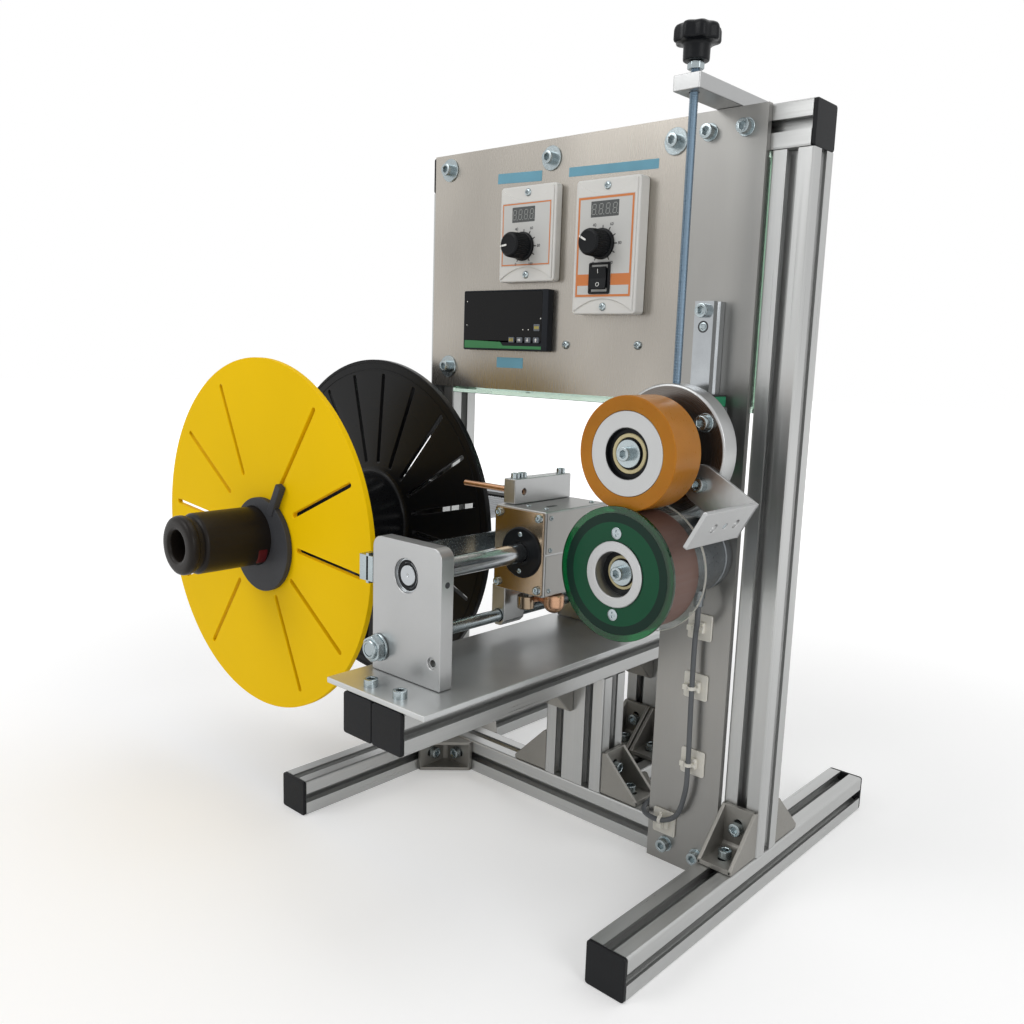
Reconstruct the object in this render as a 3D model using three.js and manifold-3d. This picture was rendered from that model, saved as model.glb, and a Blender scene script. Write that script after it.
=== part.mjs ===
// A bench machine that winds filament onto a spool. Millimetres, +Z up, the front faces -Y.
// A slotted aluminium stand carries a control panel, a driven spool on the left, a traverse that
// lays the filament, and on the right a metering wheel with a spring-free screw-down press roller.

import * as THREE from 'three';
import { mergeVertices } from 'three/addons/utils/BufferGeometryUtils.js';
import Module from 'manifold-3d';

const wasm = await Module();
wasm.setup();

// Fits that all pieces share

const seatGap = 0.3; // between two faces that rest on each other
const runningGap = 0.4; // round a shaft, pin or slide that moves in its bore
const overrun = 2; // how far a cutting shape runs past the face that it cuts

// Slotted profile and the stand that is built from it

const profile = {
  width: 30,
  slotMouth: 8,
  slotLip: 2,
  slotInner: 16,
  slotFloor: 10,
  slotDepth: 8,
  cornerRadius: 1.5,
};
const capThickness = 3; // plastic cap that closes an open profile end
const stand = {
  width: 360,
  depth: 360,
  height: 560,
};

// Angle brackets with two webs, which hold the profiles square

const bracket = {
  leg: 36,
  width: 28,
  thickness: 4,
  web: 3,
  holeRadius: 3.4,
};

// Plates on the front of the stand

const guidePlate = {
  width: 60,
  thickness: 5,
  gapToUpright: 1.5,
};
const panel = {
  height: 200,
  thickness: 2,
  overlapOnUpright: 25,
  gapToGuidePlate: 2.5,
  cutoutGap: 0.5,
};
const cover = {
  depth: 93,
  wall: 3,
  dropBelowPanel: 5,
  glandRadius: 7,
  glandLength: 8,
  glandFromRight: 54.7,
  glandBehindFront: 17,
};

// Control units; across is measured from the panel's left edge, down from the top rail's underside

const speedUnit = {
  width: 60,
  height: 76,
  proud: 8.7,
  across: 117.5,
  down: 43,
  bodyMargin: 3.5,
  bodyDepth: 55,
  cornerRadius: 3,
};
const torqueUnit = {
  width: 60,
  height: 100,
  proud: 12.7,
  across: 200.5,
  down: 57.5,
  bodyMargin: 3.5,
  bodyDepth: 60,
  cornerRadius: 3,
};
const lengthMeter = {
  width: 96,
  height: 50,
  proud: 6.7,
  across: 94,
  down: 112,
  bodyMargin: 2.5,
  bodyDepth: 75,
  cornerRadius: 1.5,
};
const dialKnob = {
  baseRadius: 11.5,
  faceRadius: 9.6,
  skirt: 2.5,
  height: 18,
  edge: 1,
  pointerWidth: 1.6,
  pointerDepth: 0.8,
};
const speedKnobPlace = { across: -2.3, up: -10 };
const torqueKnobPlace = { across: -2, up: 2 };
const rocker = {
  width: 15,
  height: 18.4,
  depth: 8,
  proud: 2,
  pivotDepth: 3,
  dip: 1.2,
  frame: 2.5,
  frameProud: 1.5,
  across: -3,
  up: -23.2,
};
const meterKey = {
  width: 6,
  height: 4.6,
  depth: 4,
  proud: 1,
  pitch: 9.1,
  travel: 1,
  lastAcross: 36.8,
  up: -16,
};

// Metering wheel on the guide plate

const meterWheel = {
  height: 251,
  radius: 40.7,
  tyreThickness: 4.2,
  width: 34,
  frontOffset: 101.7,
  flangeRadius: 45,
  flangeThickness: 3,
  bossRadius: 22,
  bossProud: 2,
  bearingRadius: 16,
  bearingDepth: 5,
  rearBossRadius: 14,
};
const encoder = {
  radius: 27,
  gapToWheel: 2.5,
  shaftRadius: 4,
  rimHeight: 3,
  glandRadius: 3.5,
  glandLength: 11,
  glandAcross: 13.5,
  glandForward: 19.7,
};
const cableRadius = 2;
const cableSides = 8;
const cableSteps = 48;

// Press roller over the metering wheel, on a carriage that slides on a linear rail

const nipGap = 0.3; // between the two tyres
const pressRoller = {
  radius: 37.7,
  tyreThickness: 9.9,
  width: 30,
  edgeRadius: 1,
  bearingRadius: 17.5,
  bearingDepth: 4,
  axleRadius: 5,
  axleProud: 1.5,
};
const pressDisc = {
  radius: 45,
  thickness: 16,
  chamfer: 1.2,
  spacerRadius: 17,
  spacerLength: 12,
  collarRadius: 9,
  collarLength: 16.4,
  screwSocketDepth: 8,
};
const rail = {
  width: 15,
  height: 15,
  waist: 11,
  headDepth: 5,
  footDepth: 6,
  counterboreRadius: 3.75,
  counterboreDepth: 5.3,
  holePitch: 60,
  firstHole: 17.5,
  topAllowance: 14,
  gapToEncoder: 2,
};
const carriage = {
  width: 47,
  coreWidth: 34,
  length: 57,
  capLength: 8,
  capWidth: 32,
  height: 24,
  underGap: 4.3,
  flangeDepth: 9,
  aboveRoller: 8.8,
  travel: 50,
};
const threadGuide = {
  width: 27,
  thickness: 3,
  slope: 29.4,
  screwRadius: 36.5,
  screwTurn: -33.5,
  screwHole: 3.2,
  legReach: 40,
  flangeDepth: 60,
  holeRadius: 3.2,
  firstHole: 19.8,
  holePitch: 27,
  eyeRadius: 2.2,
};
const pressBar = {
  width: 20,
  thickness: 10,
  front: 75,
  holeGap: 0.5,
};
const pressScrew = {
  radius: 3,
  threadShowing: 4,
  nutWidth: 9.4,
  nutHeight: 4.8,
  knobRadius: 15.5,
  knobHeight: 11,
  knobLobes: 8,
  lobeDepth: 1.6,
  knobEdge: 1.5,
  stemRadius: 8.7,
  stemHeight: 11,
};

// Platform in front, with the traverse

const platform = {
  gapToSpool: 75, // from the spool's edge to the platform's middle
  postHeight: 100,
  front: -235,
  rear: 165,
  rearPostFront: 105,
  plateWidth: 100,
  plateThickness: 4,
  plateFront: -234,
  plateRear: 38,
};
const endBlock = {
  width: 70,
  height: 98,
  thickness: 12,
  cornerRadius: 8,
  frontY: -199,
  rearY: 10,
  acrossPlatform: -8,
  bearingRadius: 12,
  bearingDepth: 3,
  spareHoleRadius: 4,
  spareHoleAcross: 27,
  spareHoleUp: -56,
};
const traverse = {
  shaftRadius: 7.5,
  shaftAbovePlate: 74.7,
  shaftFront: -197.5,
  rodRadius: 5,
  rodAcross: -27,
  rodUp: -57,
  washerRadius: 10,
  washerThickness: 2,
  nutWidth: 17,
  nutHeight: 8,
  travelForward: 100,
  travelBack: 8,
};
const stopStrip = {
  thickness: 3,
  height: 22,
  gapToBlock: 5,
  up: -2,
  endLength: 12,
  endProud: 10,
};
const housing = {
  width: 51.5,
  height: 67,
  length: 78,
  across: -4.2,
  up: 0.5,
  rearGap: 2, // left between the housing and the rear block at the end of its travel
  lidThickness: 2,
  edge: 1,
  capRadius: 20,
  capThickness: 2,
  lugWidth: 14,
  lugLength: 24,
  lugBelowRod: 8,
  lugFromFront: 2,
};
const tubeClamp = {
  width: 12,
  height: 20,
  length: 69.5,
  fromLeft: 1,
  fromFront: 7,
};
const guideTube = {
  radius: 2.5,
  bore: 1.4,
  fromClampFront: 11,
  up: 9.6,
  stub: 2,
  reachIntoSpool: 16,
};
const lever = {
  thickness: 5,
  below: 5,
  pivotRadius: 8,
  pinRadius: 3,
  pinDepth: 6,
  pivotAcross: -5,
  pivotFromFront: 33,
  knobRadius: 8,
  knobHeight: 15,
  knobAcross: 23,
  knobForward: 15,
  rollerRadius: 7,
  rollerHeight: 11,
  rollerAcross: -2,
  rollerForward: 20,
  armShare: 0.8, // of the round end that each arm carries
};

// Spool and the spindle that drives it

const spool = {
  outsideUpright: 40, // from the left upright's outer face to the spindle
  height: 231,
  flangeRadius: 150,
  flangeThickness: 5,
  coreRadius: 45,
  rearFlangeOffset: 33, // from the uprights' front to the front of the rear flange
  width: 121, // between the two flanges
  slotWidth: 6,
  slotInner: 54,
  slotOuter: 138,
  frontSlots: 12,
  rearSlots: 20,
  frontSlotTurn: -4,
  rearSlotTurn: 12,
};
const clampRing = {
  radius: 40,
  offset: 10.7, // from the spindle's axis to the middle of the ring's rim
  offsetTurn: -37,
  thickness: 5,
  tabLength: 21,
  tabWidth: 7,
  tabTurn: 61,
};
const spindle = {
  radius: 25,
  noseLength: 71,
  noseBore: 12.5,
  noseBoreDepth: 22,
  noseEdge: 2,
  grooveDepth: 2.5,
  grooveWidth: 5,
  grooveFromFront: 9,
  shoulderRadius: 32,
  shoulderWidth: 6.5,
  shaftRadius: 12,
};
const driveBracket = {
  thickness: 10,
  halfHeight: 41,
  outboard: 40,
  housingRadius: 26,
  housingProud: 9.7,
  housingToPulley: 13,
  standoffRadius: 5,
  standoffAcross: 35,
  standoffInboard: 30,
  standoffUp: 36,
  pulleyToMotorPlate: 7,
  motorPlateRadius: 56,
  motorPlateThickness: 6,
};
const motor = {
  radius: 17,
  fluteDepth: 1,
  flutes: 18,
  length: 125.7,
  pilotRadius: 11,
  shaftRadius: 6,
  shaftReach: 22,
};
const belt = {
  pitch: 3,
  spindleTeeth: 50,
  traverseTeeth: 40,
  width: 13,
  thickness: 2,
  pulleyWidth: 16,
  pulleyLip: 2.5,
  pulleyLipWidth: 1,
  behindUpright: 10, // from the upright's rear face to the pulleys
};

// Places that follow from the sizes above

const uprightX = stand.width / 2 - profile.width / 2;
const innerFaceX = uprightX - profile.width / 2;
const frontFace = -profile.width / 2;
const railBottom = stand.height - profile.width;
const guidePlateX = innerFaceX - guidePlate.gapToUpright - guidePlate.width / 2;
const guidePlateFront = frontFace - seatGap - guidePlate.thickness;
const panelLeft = -innerFaceX - panel.overlapOnUpright;
const panelRight = guidePlateX - guidePlate.width / 2 - panel.gapToGuidePlate;
const panelFront = frontFace - seatGap - panel.thickness;
const panelBottom = stand.height - panel.height;
const spindleX = -stand.width / 2 - spool.outsideUpright;
const rearFlangeY = frontFace - spool.rearFlangeOffset;
const frontFlangeY = rearFlangeY - spool.width;
const platformX = spindleX + spool.flangeRadius + platform.gapToSpool;
const beamBottom = profile.width + platform.postHeight;
const plateTop = beamBottom + profile.width + seatGap + platform.plateThickness;
const endBlockX = platformX + endBlock.acrossPlatform;
const endBlockZ = plateTop + seatGap + endBlock.height / 2;
const shaftX = endBlockX;
const shaftZ = plateTop + traverse.shaftAbovePlate;
const rodX = shaftX + traverse.rodAcross;
const rodZ = shaftZ + traverse.rodUp;
const housingFront = endBlock.rearY - traverse.travelBack - housing.rearGap - housing.length;
const pressRollerZ = meterWheel.height + meterWheel.radius + nipGap + pressRoller.radius;
const carriageZ = pressRollerZ + carriage.aboveRoller;
const carriageFront = guidePlateFront - seatGap - carriage.height;
const discRear = carriageFront - seatGap - pressDisc.spacerLength;
const discFront = discRear - pressDisc.thickness;
const wheelFront = guidePlateFront - meterWheel.frontOffset;
const pulleyY = profile.width / 2 + belt.behindUpright + belt.pulleyWidth / 2;
const motorPlateFront = pulleyY + belt.pulleyWidth / 2 + driveBracket.pulleyToMotorPlate;

// Finishes

const finish = {
  aluminium: material(0xb9bbbc, 0.38, 0.9),
  machined: material(0xc6c8c9, 0.3, 0.9),
  stainless: material(0xa8a39b, 0.35, 0.85),
  zinc: material(0xa9b2b4, 0.32, 0.9),
  steel: material(0x8d9499, 0.3, 0.95),
  threaded: material(0x6f8896, 0.4, 0.8),
  blackPlastic: material(0x1c1c1d, 0.5, 0),
  darkPlastic: material(0x2b241f, 0.45, 0),
  greyPlastic: material(0x4a4a4c, 0.5, 0),
  yellowPlastic: material(0xe8c604, 0.4, 0),
  whitePlastic: material(0xdcdcd6, 0.45, 0),
  meterPlastic: material(0x23272b, 0.35, 0),
  amberTyre: material(0xc98630, 0.35, 0),
  brownTyre: material(0x6b4f47, 0.6, 0),
  greenAcrylic: material(0x12502c, 0.15, 0),
  clearAcrylic: material(0xcfdcd8, 0.1, 0),
  paleAcrylic: material(0xb9d8c4, 0.1, 0),
  copper: material(0xb06a42, 0.3, 0.9),
  rubber: material(0x222222, 0.8, 0),
  cable: material(0x55585a, 0.6, 0),
};

function material(color, roughness, metalness) {
  return new THREE.MeshStandardMaterial({ color, roughness, metalness });
}

// Plain outlines, as lists of points

function arc(centreX, centreY, radius, startDegrees, endDegrees, steps) {
  const points = [];
  for (let step = 0; step <= steps; step += 1) {
    const angle = THREE.MathUtils.degToRad(startDegrees + (endDegrees - startDegrees) * step / steps);
    points.push(new THREE.Vector2(centreX + radius * Math.cos(angle), centreY + radius * Math.sin(angle)));
  }
  return points;
}

function circle(radius, steps, centreX = 0, centreY = 0) {
  return arc(centreX, centreY, radius, 0, 360, steps).slice(0, steps);
}

function rectangle(width, height, centreX = 0, centreY = 0) {
  const signs = [[-1, -1], [1, -1], [1, 1], [-1, 1]];
  return signs.map(([x, y]) => new THREE.Vector2(centreX + x * width / 2, centreY + y * height / 2));
}

function roundedRectangle(width, height, radius, steps = 3) {
  const x = width / 2 - radius;
  const y = height / 2 - radius;
  return [
    ...arc(x, -y, radius, -90, 0, steps),
    ...arc(x, y, radius, 0, 90, steps),
    ...arc(-x, y, radius, 90, 180, steps),
    ...arc(-x, -y, radius, 180, 270, steps),
  ];
}

function hexagon(acrossFlats) {
  return circle(acrossFlats / Math.sqrt(3), 6);
}

// A slot with round ends that points away from the centre of a disc
function radialSlot(width, inner, outer, degrees) {
  const angle = THREE.MathUtils.degToRad(degrees);
  const points = [
    ...arc(outer - width / 2, 0, width / 2, -90, 90, 3),
    ...arc(inner + width / 2, 0, width / 2, 90, 270, 3),
  ];
  return points.map((point) => point.rotateAround(new THREE.Vector2(), angle));
}

// The outline that a band takes round two wheels
function bandOutline(start, startRadius, end, endRadius, steps) {
  const span = end.clone().sub(start);
  const lean = THREE.MathUtils.radToDeg(Math.acos((startRadius - endRadius) / span.length()));
  const heading = THREE.MathUtils.radToDeg(span.angle());
  return [
    ...arc(end.x, end.y, endRadius, heading - lean, heading + lean, steps),
    ...arc(start.x, start.y, startRadius, heading + lean, heading + 360 - lean, steps),
  ];
}

// Solid shapes, each centred on the origin

const turnFor = {
  x: (geometry) => geometry.rotateY(Math.PI / 2),
  y: (geometry) => geometry.rotateX(Math.PI / 2),
  z: (geometry) => geometry,
};

// An outline with holes, drawn out to a length along x, y or z. Along y it is drawn as seen from the front.
function extruded(outline, length, axis, holes = []) {
  const shape = new THREE.Shape(outline);
  shape.holes = holes.map((hole) => new THREE.Path(hole));
  const geometry = new THREE.ExtrudeGeometry(shape, { depth: length, bevelEnabled: false, curveSegments: 1 });
  return turnFor[axis](geometry.translate(0, 0, -length / 2));
}

function block(width, depth, height) {
  return new THREE.BoxGeometry(width, depth, height);
}

function rod(radius, length, axis, steps = 16) {
  return extruded(circle(radius, steps), length, axis);
}

// A profile of [radius, place along the axis] pairs turned round the y axis
function turned(pairs, steps = 32) {
  const points = pairs.map(([radius, along]) => new THREE.Vector2(radius, along));
  return new THREE.LatheGeometry(points, steps);
}

// A ring turned from its section, which closes on itself
function turnedRing(pairs, steps = 32) {
  return turned([...pairs, pairs[0]], steps);
}

function moved(geometry, x, y, z) {
  return geometry.translate(x, y, z);
}

// Joining and cutting closed shapes

function toSolid(geometry) {
  const bare = geometry.clone();
  bare.deleteAttribute('normal');
  bare.deleteAttribute('uv');
  const merged = mergeVertices(bare, 1e-4);
  const corners = merged.index.array;
  const triVerts = [];
  for (let first = 0; first < corners.length; first += 3) {
    const [a, b, c] = corners.slice(first, first + 3);
    if (a !== b && b !== c && c !== a) {
      triVerts.push(a, b, c);
    }
  }
  const vertProperties = new Float32Array(merged.attributes.position.array);
  return new wasm.Manifold(new wasm.Mesh({ numProp: 3, vertProperties, triVerts: new Uint32Array(triVerts) }));
}

function toGeometry(solid) {
  const mesh = solid.getMesh();
  const geometry = new THREE.BufferGeometry();
  geometry.setAttribute('position', new THREE.BufferAttribute(mesh.vertProperties, mesh.numProp));
  geometry.setIndex(new THREE.BufferAttribute(mesh.triVerts, 1));
  geometry.computeVertexNormals();
  return geometry;
}

function joined(...geometries) {
  const solids = geometries.map(toSolid);
  return toGeometry(solids.reduce((whole, solid) => whole.add(solid)));
}

function cut(geometry, ...tools) {
  const solids = tools.map(toSolid);
  return toGeometry(solids.reduce((whole, tool) => whole.subtract(tool), toSolid(geometry)));
}

// The machine's scene graph

const machine = new THREE.Group();

function unit(x, y, z, parent = machine) {
  const group = new THREE.Group();
  group.position.set(x, y, z);
  parent.add(group);
  return group;
}

function addPiece(parent, name, geometry, look, x = 0, y = 0, z = 0) {
  const mesh = new THREE.Mesh(geometry, look);
  mesh.name = name;
  mesh.position.set(x, y, z);
  parent.add(mesh);
  return mesh;
}

// Stand

// The profile's section: one or more square cells side by side, with a T slot in each open side
function slottedSection(cells = 1) {
  const cell = profile.width;
  const notch = [
    [-profile.slotMouth / 2, 0],
    [-profile.slotMouth / 2, profile.slotLip],
    [-profile.slotInner / 2, profile.slotLip],
    [-profile.slotFloor / 2, profile.slotDepth],
    [profile.slotFloor / 2, profile.slotDepth],
    [profile.slotInner / 2, profile.slotLip],
    [profile.slotMouth / 2, profile.slotLip],
    [profile.slotMouth / 2, 0],
  ];
  const sides = [
    { corner: [-cells / 2, -1 / 2], along: [1, 0], inward: [0, 1], count: cells },
    { corner: [cells / 2, -1 / 2], along: [0, 1], inward: [-1, 0], count: 1 },
    { corner: [cells / 2, 1 / 2], along: [-1, 0], inward: [0, -1], count: cells },
    { corner: [-cells / 2, 1 / 2], along: [0, -1], inward: [1, 0], count: 1 },
  ];
  const radius = profile.cornerRadius;
  const bulge = radius * (1 - Math.SQRT1_2);
  const outline = [];
  for (const { corner, along, inward, count } of sides) {
    const at = (ahead, deep) => new THREE.Vector2(
      corner[0] * cell + along[0] * ahead + inward[0] * deep,
      corner[1] * cell + along[1] * ahead + inward[1] * deep,
    );
    outline.push(at(0, radius), at(bulge, bulge), at(radius, 0));
    for (let index = 0; index < count; index += 1) {
      const middle = (index + 1 / 2) * cell;
      outline.push(...notch.map(([ahead, deep]) => at(middle + ahead, deep)));
    }
  }
  return outline;
}

function slottedBar(length, axis, cells = 1) {
  return extruded(slottedSection(cells), length, axis);
}

function addStand() {
  const look = finish.aluminium;
  const footLength = stand.depth - 2 * capThickness;
  const uprightLength = railBottom - profile.width - 2 * seatGap;
  const level = profile.width / 2;
  for (const [side, sign] of [['left', -1], ['right', 1]]) {
    addPiece(machine, `${side}_foot`, slottedBar(footLength, 'y'), look, sign * uprightX, 0, level);
    const middle = (railBottom + profile.width) / 2;
    addPiece(machine, `${side}_upright`, slottedBar(uprightLength, 'z'), look, sign * uprightX, 0, middle);
  }
  const crossLength = 2 * (innerFaceX - seatGap);
  addPiece(machine, 'cross_rail', slottedBar(crossLength, 'x'), look, 0, 0, level);
  const railLength = stand.width - 2 * capThickness;
  addPiece(machine, 'top_rail', slottedBar(railLength, 'x'), look, 0, 0, stand.height - level);
  const middleFront = profile.width / 2 + seatGap;
  const middleRear = stand.depth / 2 - capThickness;
  const middleFoot = slottedBar(middleRear - middleFront, 'y', 2);
  addPiece(machine, 'middle_foot', middleFoot, look, platformX, (middleFront + middleRear) / 2, level);
}

// The corner of the angle is at the origin; its legs run along +x and +z
function bracketShape() {
  const { leg, width, thickness, web, holeRadius } = bracket;
  const start = seatGap;
  const middle = (start + leg) / 2;
  const floor = moved(block(leg - start, width, thickness), middle, 0, start + thickness / 2);
  const wall = moved(block(thickness, width, leg - start), start + thickness / 2, 0, middle);
  const inner = start + thickness / 2;
  const triangle = [[inner, inner], [leg - thickness / 2, inner], [inner, leg - thickness / 2]];
  const outline = triangle.map(([x, y]) => new THREE.Vector2(x, y));
  const webs = [-1, 1].map((sign) => moved(extruded(outline, web, 'y'), 0, sign * (width - web) / 2, 0));
  const holeAt = (leg + thickness) / 2;
  const drill = thickness + 2 * overrun;
  return cut(
    joined(floor, wall, ...webs),
    moved(rod(holeRadius, drill, 'z', 12), holeAt, 0, start + thickness / 2),
    moved(rod(holeRadius, drill, 'x', 12), start + thickness / 2, 0, holeAt),
  );
}

function addBrackets() {
  const look = finish.aluminium;
  const top = profile.width;
  const postHalf = profile.width;
  const footBracket = addPiece(machine, 'foot_bracket', bracketShape(), look, -innerFaceX, frontFace, top / 2);
  footBracket.rotation.x = Math.PI / 2;
  const upright = addPiece(machine, 'upright_bracket', bracketShape(), look, uprightX, frontFace, top);
  upright.rotation.z = -Math.PI / 2;
  addPiece(machine, 'post_bracket_right', bracketShape(), look, platformX + postHalf, 0, top);
  const left = addPiece(machine, 'post_bracket_left', bracketShape(), look, platformX - postHalf, 0, top);
  left.rotation.z = Math.PI;
}

// Plates, panel and the clear cover behind the panel

function controlCentre(control) {
  return [panelLeft + control.across, railBottom - control.down];
}

function addPlates() {
  const plate = block(guidePlate.width, guidePlate.thickness, stand.height);
  const plateY = guidePlateFront + guidePlate.thickness / 2;
  addPiece(machine, 'guide_plate', plate, finish.stainless, guidePlateX, plateY, stand.height / 2);

  const width = panelRight - panelLeft;
  const centreX = (panelRight + panelLeft) / 2;
  const centreZ = panelBottom + panel.height / 2;
  const holes = [speedUnit, torqueUnit, lengthMeter].map((control) => {
    const [x, z] = controlCentre(control);
    const trim = 2 * (panel.cutoutGap - control.bodyMargin);
    return rectangle(control.width + trim, control.height + trim, x - centreX, z - centreZ);
  });
  const sheet = extruded(rectangle(width, panel.height), panel.thickness, 'y', holes);
  addPiece(machine, 'front_panel', sheet, finish.stainless, centreX, panelFront + panel.thickness / 2, centreZ);
}

function addRearCover() {
  const outerWidth = 2 * (innerFaceX - seatGap);
  const top = railBottom - seatGap;
  const bottom = panelBottom - cover.dropBelowPanel;
  const height = top - bottom;
  const { wall, depth } = cover;
  const shell = block(outerWidth, depth, height);
  const hollow = moved(block(outerWidth - 2 * wall, depth, height - 2 * wall), 0, -wall, 0);
  const glandX = outerWidth / 2 - cover.glandFromRight;
  const glandY = -depth / 2 + cover.glandBehindFront;
  const reach = wall + cover.glandLength;
  const gland = moved(rod(cover.glandRadius, reach, 'z', 16), glandX, glandY, -height / 2 + wall - reach / 2);
  const bore = moved(
    rod(cableRadius + runningGap, reach + 2 * overrun, 'z', 16),
    glandX, glandY, -height / 2 + wall - reach / 2,
  );
  const geometry = cut(joined(cut(shell, hollow), gland), bore);
  addPiece(machine, 'rear_cover', geometry, finish.paleAcrylic, 0, frontFace + depth / 2, bottom + height / 2);
}

// Control units, their knobs, rocker and keys

// A bezel in front of the panel and a body that passes through it; y is 0 at the panel's front face
function controlShape(control) {
  const { width, height, proud, bodyMargin, bodyDepth, cornerRadius } = control;
  const bezel = extruded(roundedRectangle(width, height, cornerRadius), proud - seatGap, 'y');
  const body = block(width - 2 * bodyMargin, bodyDepth + proud / 2, height - 2 * bodyMargin);
  return joined(
    moved(bezel, 0, -(proud + seatGap) / 2, 0),
    moved(body, 0, (bodyDepth - proud / 2) / 2, 0),
  );
}

function knobShape() {
  const { baseRadius, faceRadius, skirt, height, edge, pointerWidth, pointerDepth } = dialKnob;
  const body = turned([
    [0, -height],
    [faceRadius - edge, -height],
    [faceRadius, -height + edge],
    [faceRadius + edge / 2, -skirt],
    [baseRadius, -skirt],
    [baseRadius, 0],
    [0, 0],
  ], 24);
  const groove = block(pointerWidth, 2 * pointerDepth, faceRadius);
  return cut(body, moved(groove, 0, -height, faceRadius / 2 + pointerWidth));
}

function addKnob(group, name, place, proud, pointerTurn) {
  const knob = addPiece(group, name, knobShape(), finish.blackPlastic, place.across, -proud - seatGap, place.up);
  knob.rotation.y = THREE.MathUtils.degToRad(pointerTurn);
}

function addSpeedUnit() {
  const [x, z] = controlCentre(speedUnit);
  const group = unit(x, panelFront, z);
  addPiece(group, 'speed_unit', controlShape(speedUnit), finish.whitePlastic);
  addKnob(group, 'speed_knob', speedKnobPlace, speedUnit.proud, -97);
}

// The rocker's pocket is cut square; the rocker's back is round about its pivot, so it can tilt
function addTorqueUnit() {
  const [x, z] = controlCentre(torqueUnit);
  const group = unit(x, panelFront, z);
  const { proud } = torqueUnit;
  const { width, height, depth, pivotDepth, dip, frame, frameProud } = rocker;
  const face = -proud - frameProud;
  const frameBlock = block(width + 2 * frame, frameProud + proud / 2, height + 2 * frame);
  const pocketWidth = width + 2 * runningGap;
  const pocketHeight = height + 4 * runningGap;
  const pocketDepth = frameProud + depth + 2 * runningGap;
  const shape = cut(
    joined(
      controlShape(torqueUnit),
      moved(frameBlock, rocker.across, face + (frameProud + proud / 2) / 2, rocker.up),
    ),
    moved(
      block(pocketWidth, pocketDepth + overrun, pocketHeight),
      rocker.across, face + (pocketDepth - overrun) / 2, rocker.up,
    ),
  );
  addPiece(group, 'torque_unit', shape, finish.whitePlastic);
  addKnob(group, 'torque_knob', torqueKnobPlace, proud, -62);

  const crest = -rocker.proud - pivotDepth;
  const outline = [
    new THREE.Vector2(crest, -height / 2),
    ...arc(0, 0, depth - pivotDepth, -70, 70, 8),
    new THREE.Vector2(crest, height / 2),
    new THREE.Vector2(crest + dip, 0),
  ];
  const cap = extruded(outline, width, 'z').rotateX(Math.PI / 2).rotateZ(Math.PI / 2);
  addPiece(group, 'rocker_switch', cap, finish.blackPlastic, rocker.across, face + pivotDepth, rocker.up);
}

function addLengthMeter() {
  const [x, z] = controlCentre(lengthMeter);
  const group = unit(x, panelFront, z);
  const keyCount = 4;
  const { width, height, depth, proud, pitch, travel, lastAcross, up } = meterKey;
  const places = Array.from({ length: keyCount }, (_, index) => lastAcross - (keyCount - 1 - index) * pitch);
  const face = -lengthMeter.proud;
  const pocketDepth = depth - proud + travel + runningGap;
  const pockets = places.map((across) => moved(
    block(width + 2 * runningGap, pocketDepth + overrun, height + 2 * runningGap),
    across, face + (pocketDepth - overrun) / 2, up,
  ));
  addPiece(group, 'length_meter', cut(controlShape(lengthMeter), ...pockets), finish.meterPlastic);
  places.forEach((across, index) => {
    const key = block(width, depth, height);
    addPiece(group, `meter_key_${index + 1}`, key, finish.greyPlastic, across, face - proud + depth / 2, up);
  });
}

// Metering wheel, its encoder and the encoder's cable

function addMeterWheel() {
  const group = unit(guidePlateX, wheelFront, meterWheel.height);
  const { radius, tyreThickness, width, flangeRadius, flangeThickness } = meterWheel;
  const { bossRadius, bossProud, bearingRadius, bearingDepth, rearBossRadius } = meterWheel;
  const hubRadius = radius - tyreThickness;
  const bore = encoder.shaftRadius + runningGap;
  const front = -flangeThickness - bossProud;
  const rear = width + flangeThickness;
  const hub = turnedRing([
    [bore, front + bearingDepth],
    [bearingRadius, front + bearingDepth],
    [bearingRadius, front],
    [bossRadius, front],
    [bossRadius, 0],
    [hubRadius, 0],
    [hubRadius, width],
    [rearBossRadius, width],
    [rearBossRadius, rear],
    [bore, rear],
  ]);
  addPiece(group, 'meter_hub', hub, finish.machined);
  const tyre = turnedRing([
    [hubRadius + seatGap, 0],
    [radius, 0],
    [radius, width],
    [hubRadius + seatGap, width],
  ], 40);
  addPiece(group, 'meter_tyre', tyre, finish.brownTyre);
  const flange = (inner) => turnedRing([
    [inner + seatGap, 0],
    [flangeRadius, 0],
    [flangeRadius, flangeThickness - seatGap],
    [inner + seatGap, flangeThickness - seatGap],
  ], 40);
  addPiece(group, 'meter_flange_front', flange(bossRadius), finish.greenAcrylic, 0, -flangeThickness, 0);
  addPiece(group, 'meter_flange_rear', flange(rearBossRadius), finish.clearAcrylic, 0, width + seatGap, 0);
}

function addEncoder() {
  const front = wheelFront + meterWheel.width + meterWheel.flangeThickness + encoder.gapToWheel;
  const rear = guidePlateFront - seatGap;
  const shaftFront = wheelFront - meterWheel.flangeThickness - meterWheel.bossProud;
  const { radius, rimHeight, shaftRadius, glandRadius, glandLength, glandAcross, glandForward } = encoder;
  const body = turned([
    [0, shaftFront],
    [shaftRadius, shaftFront],
    [shaftRadius, front],
    [radius - rimHeight, front],
    [radius, front + rimHeight],
    [radius, rear],
    [0, rear],
  ]);
  const shoulder = Math.sqrt(radius ** 2 - glandAcross ** 2);
  const gland = rod(glandRadius, glandLength + shoulder / 2, 'z', 16);
  const glandZ = -shoulder / 2 - (glandLength + shoulder / 2) / 2;
  const shape = joined(body, moved(gland, glandAcross, guidePlateFront - glandForward, glandZ));
  addPiece(machine, 'encoder', shape, finish.blackPlastic, guidePlateX, 0, meterWheel.height);
}

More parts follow.
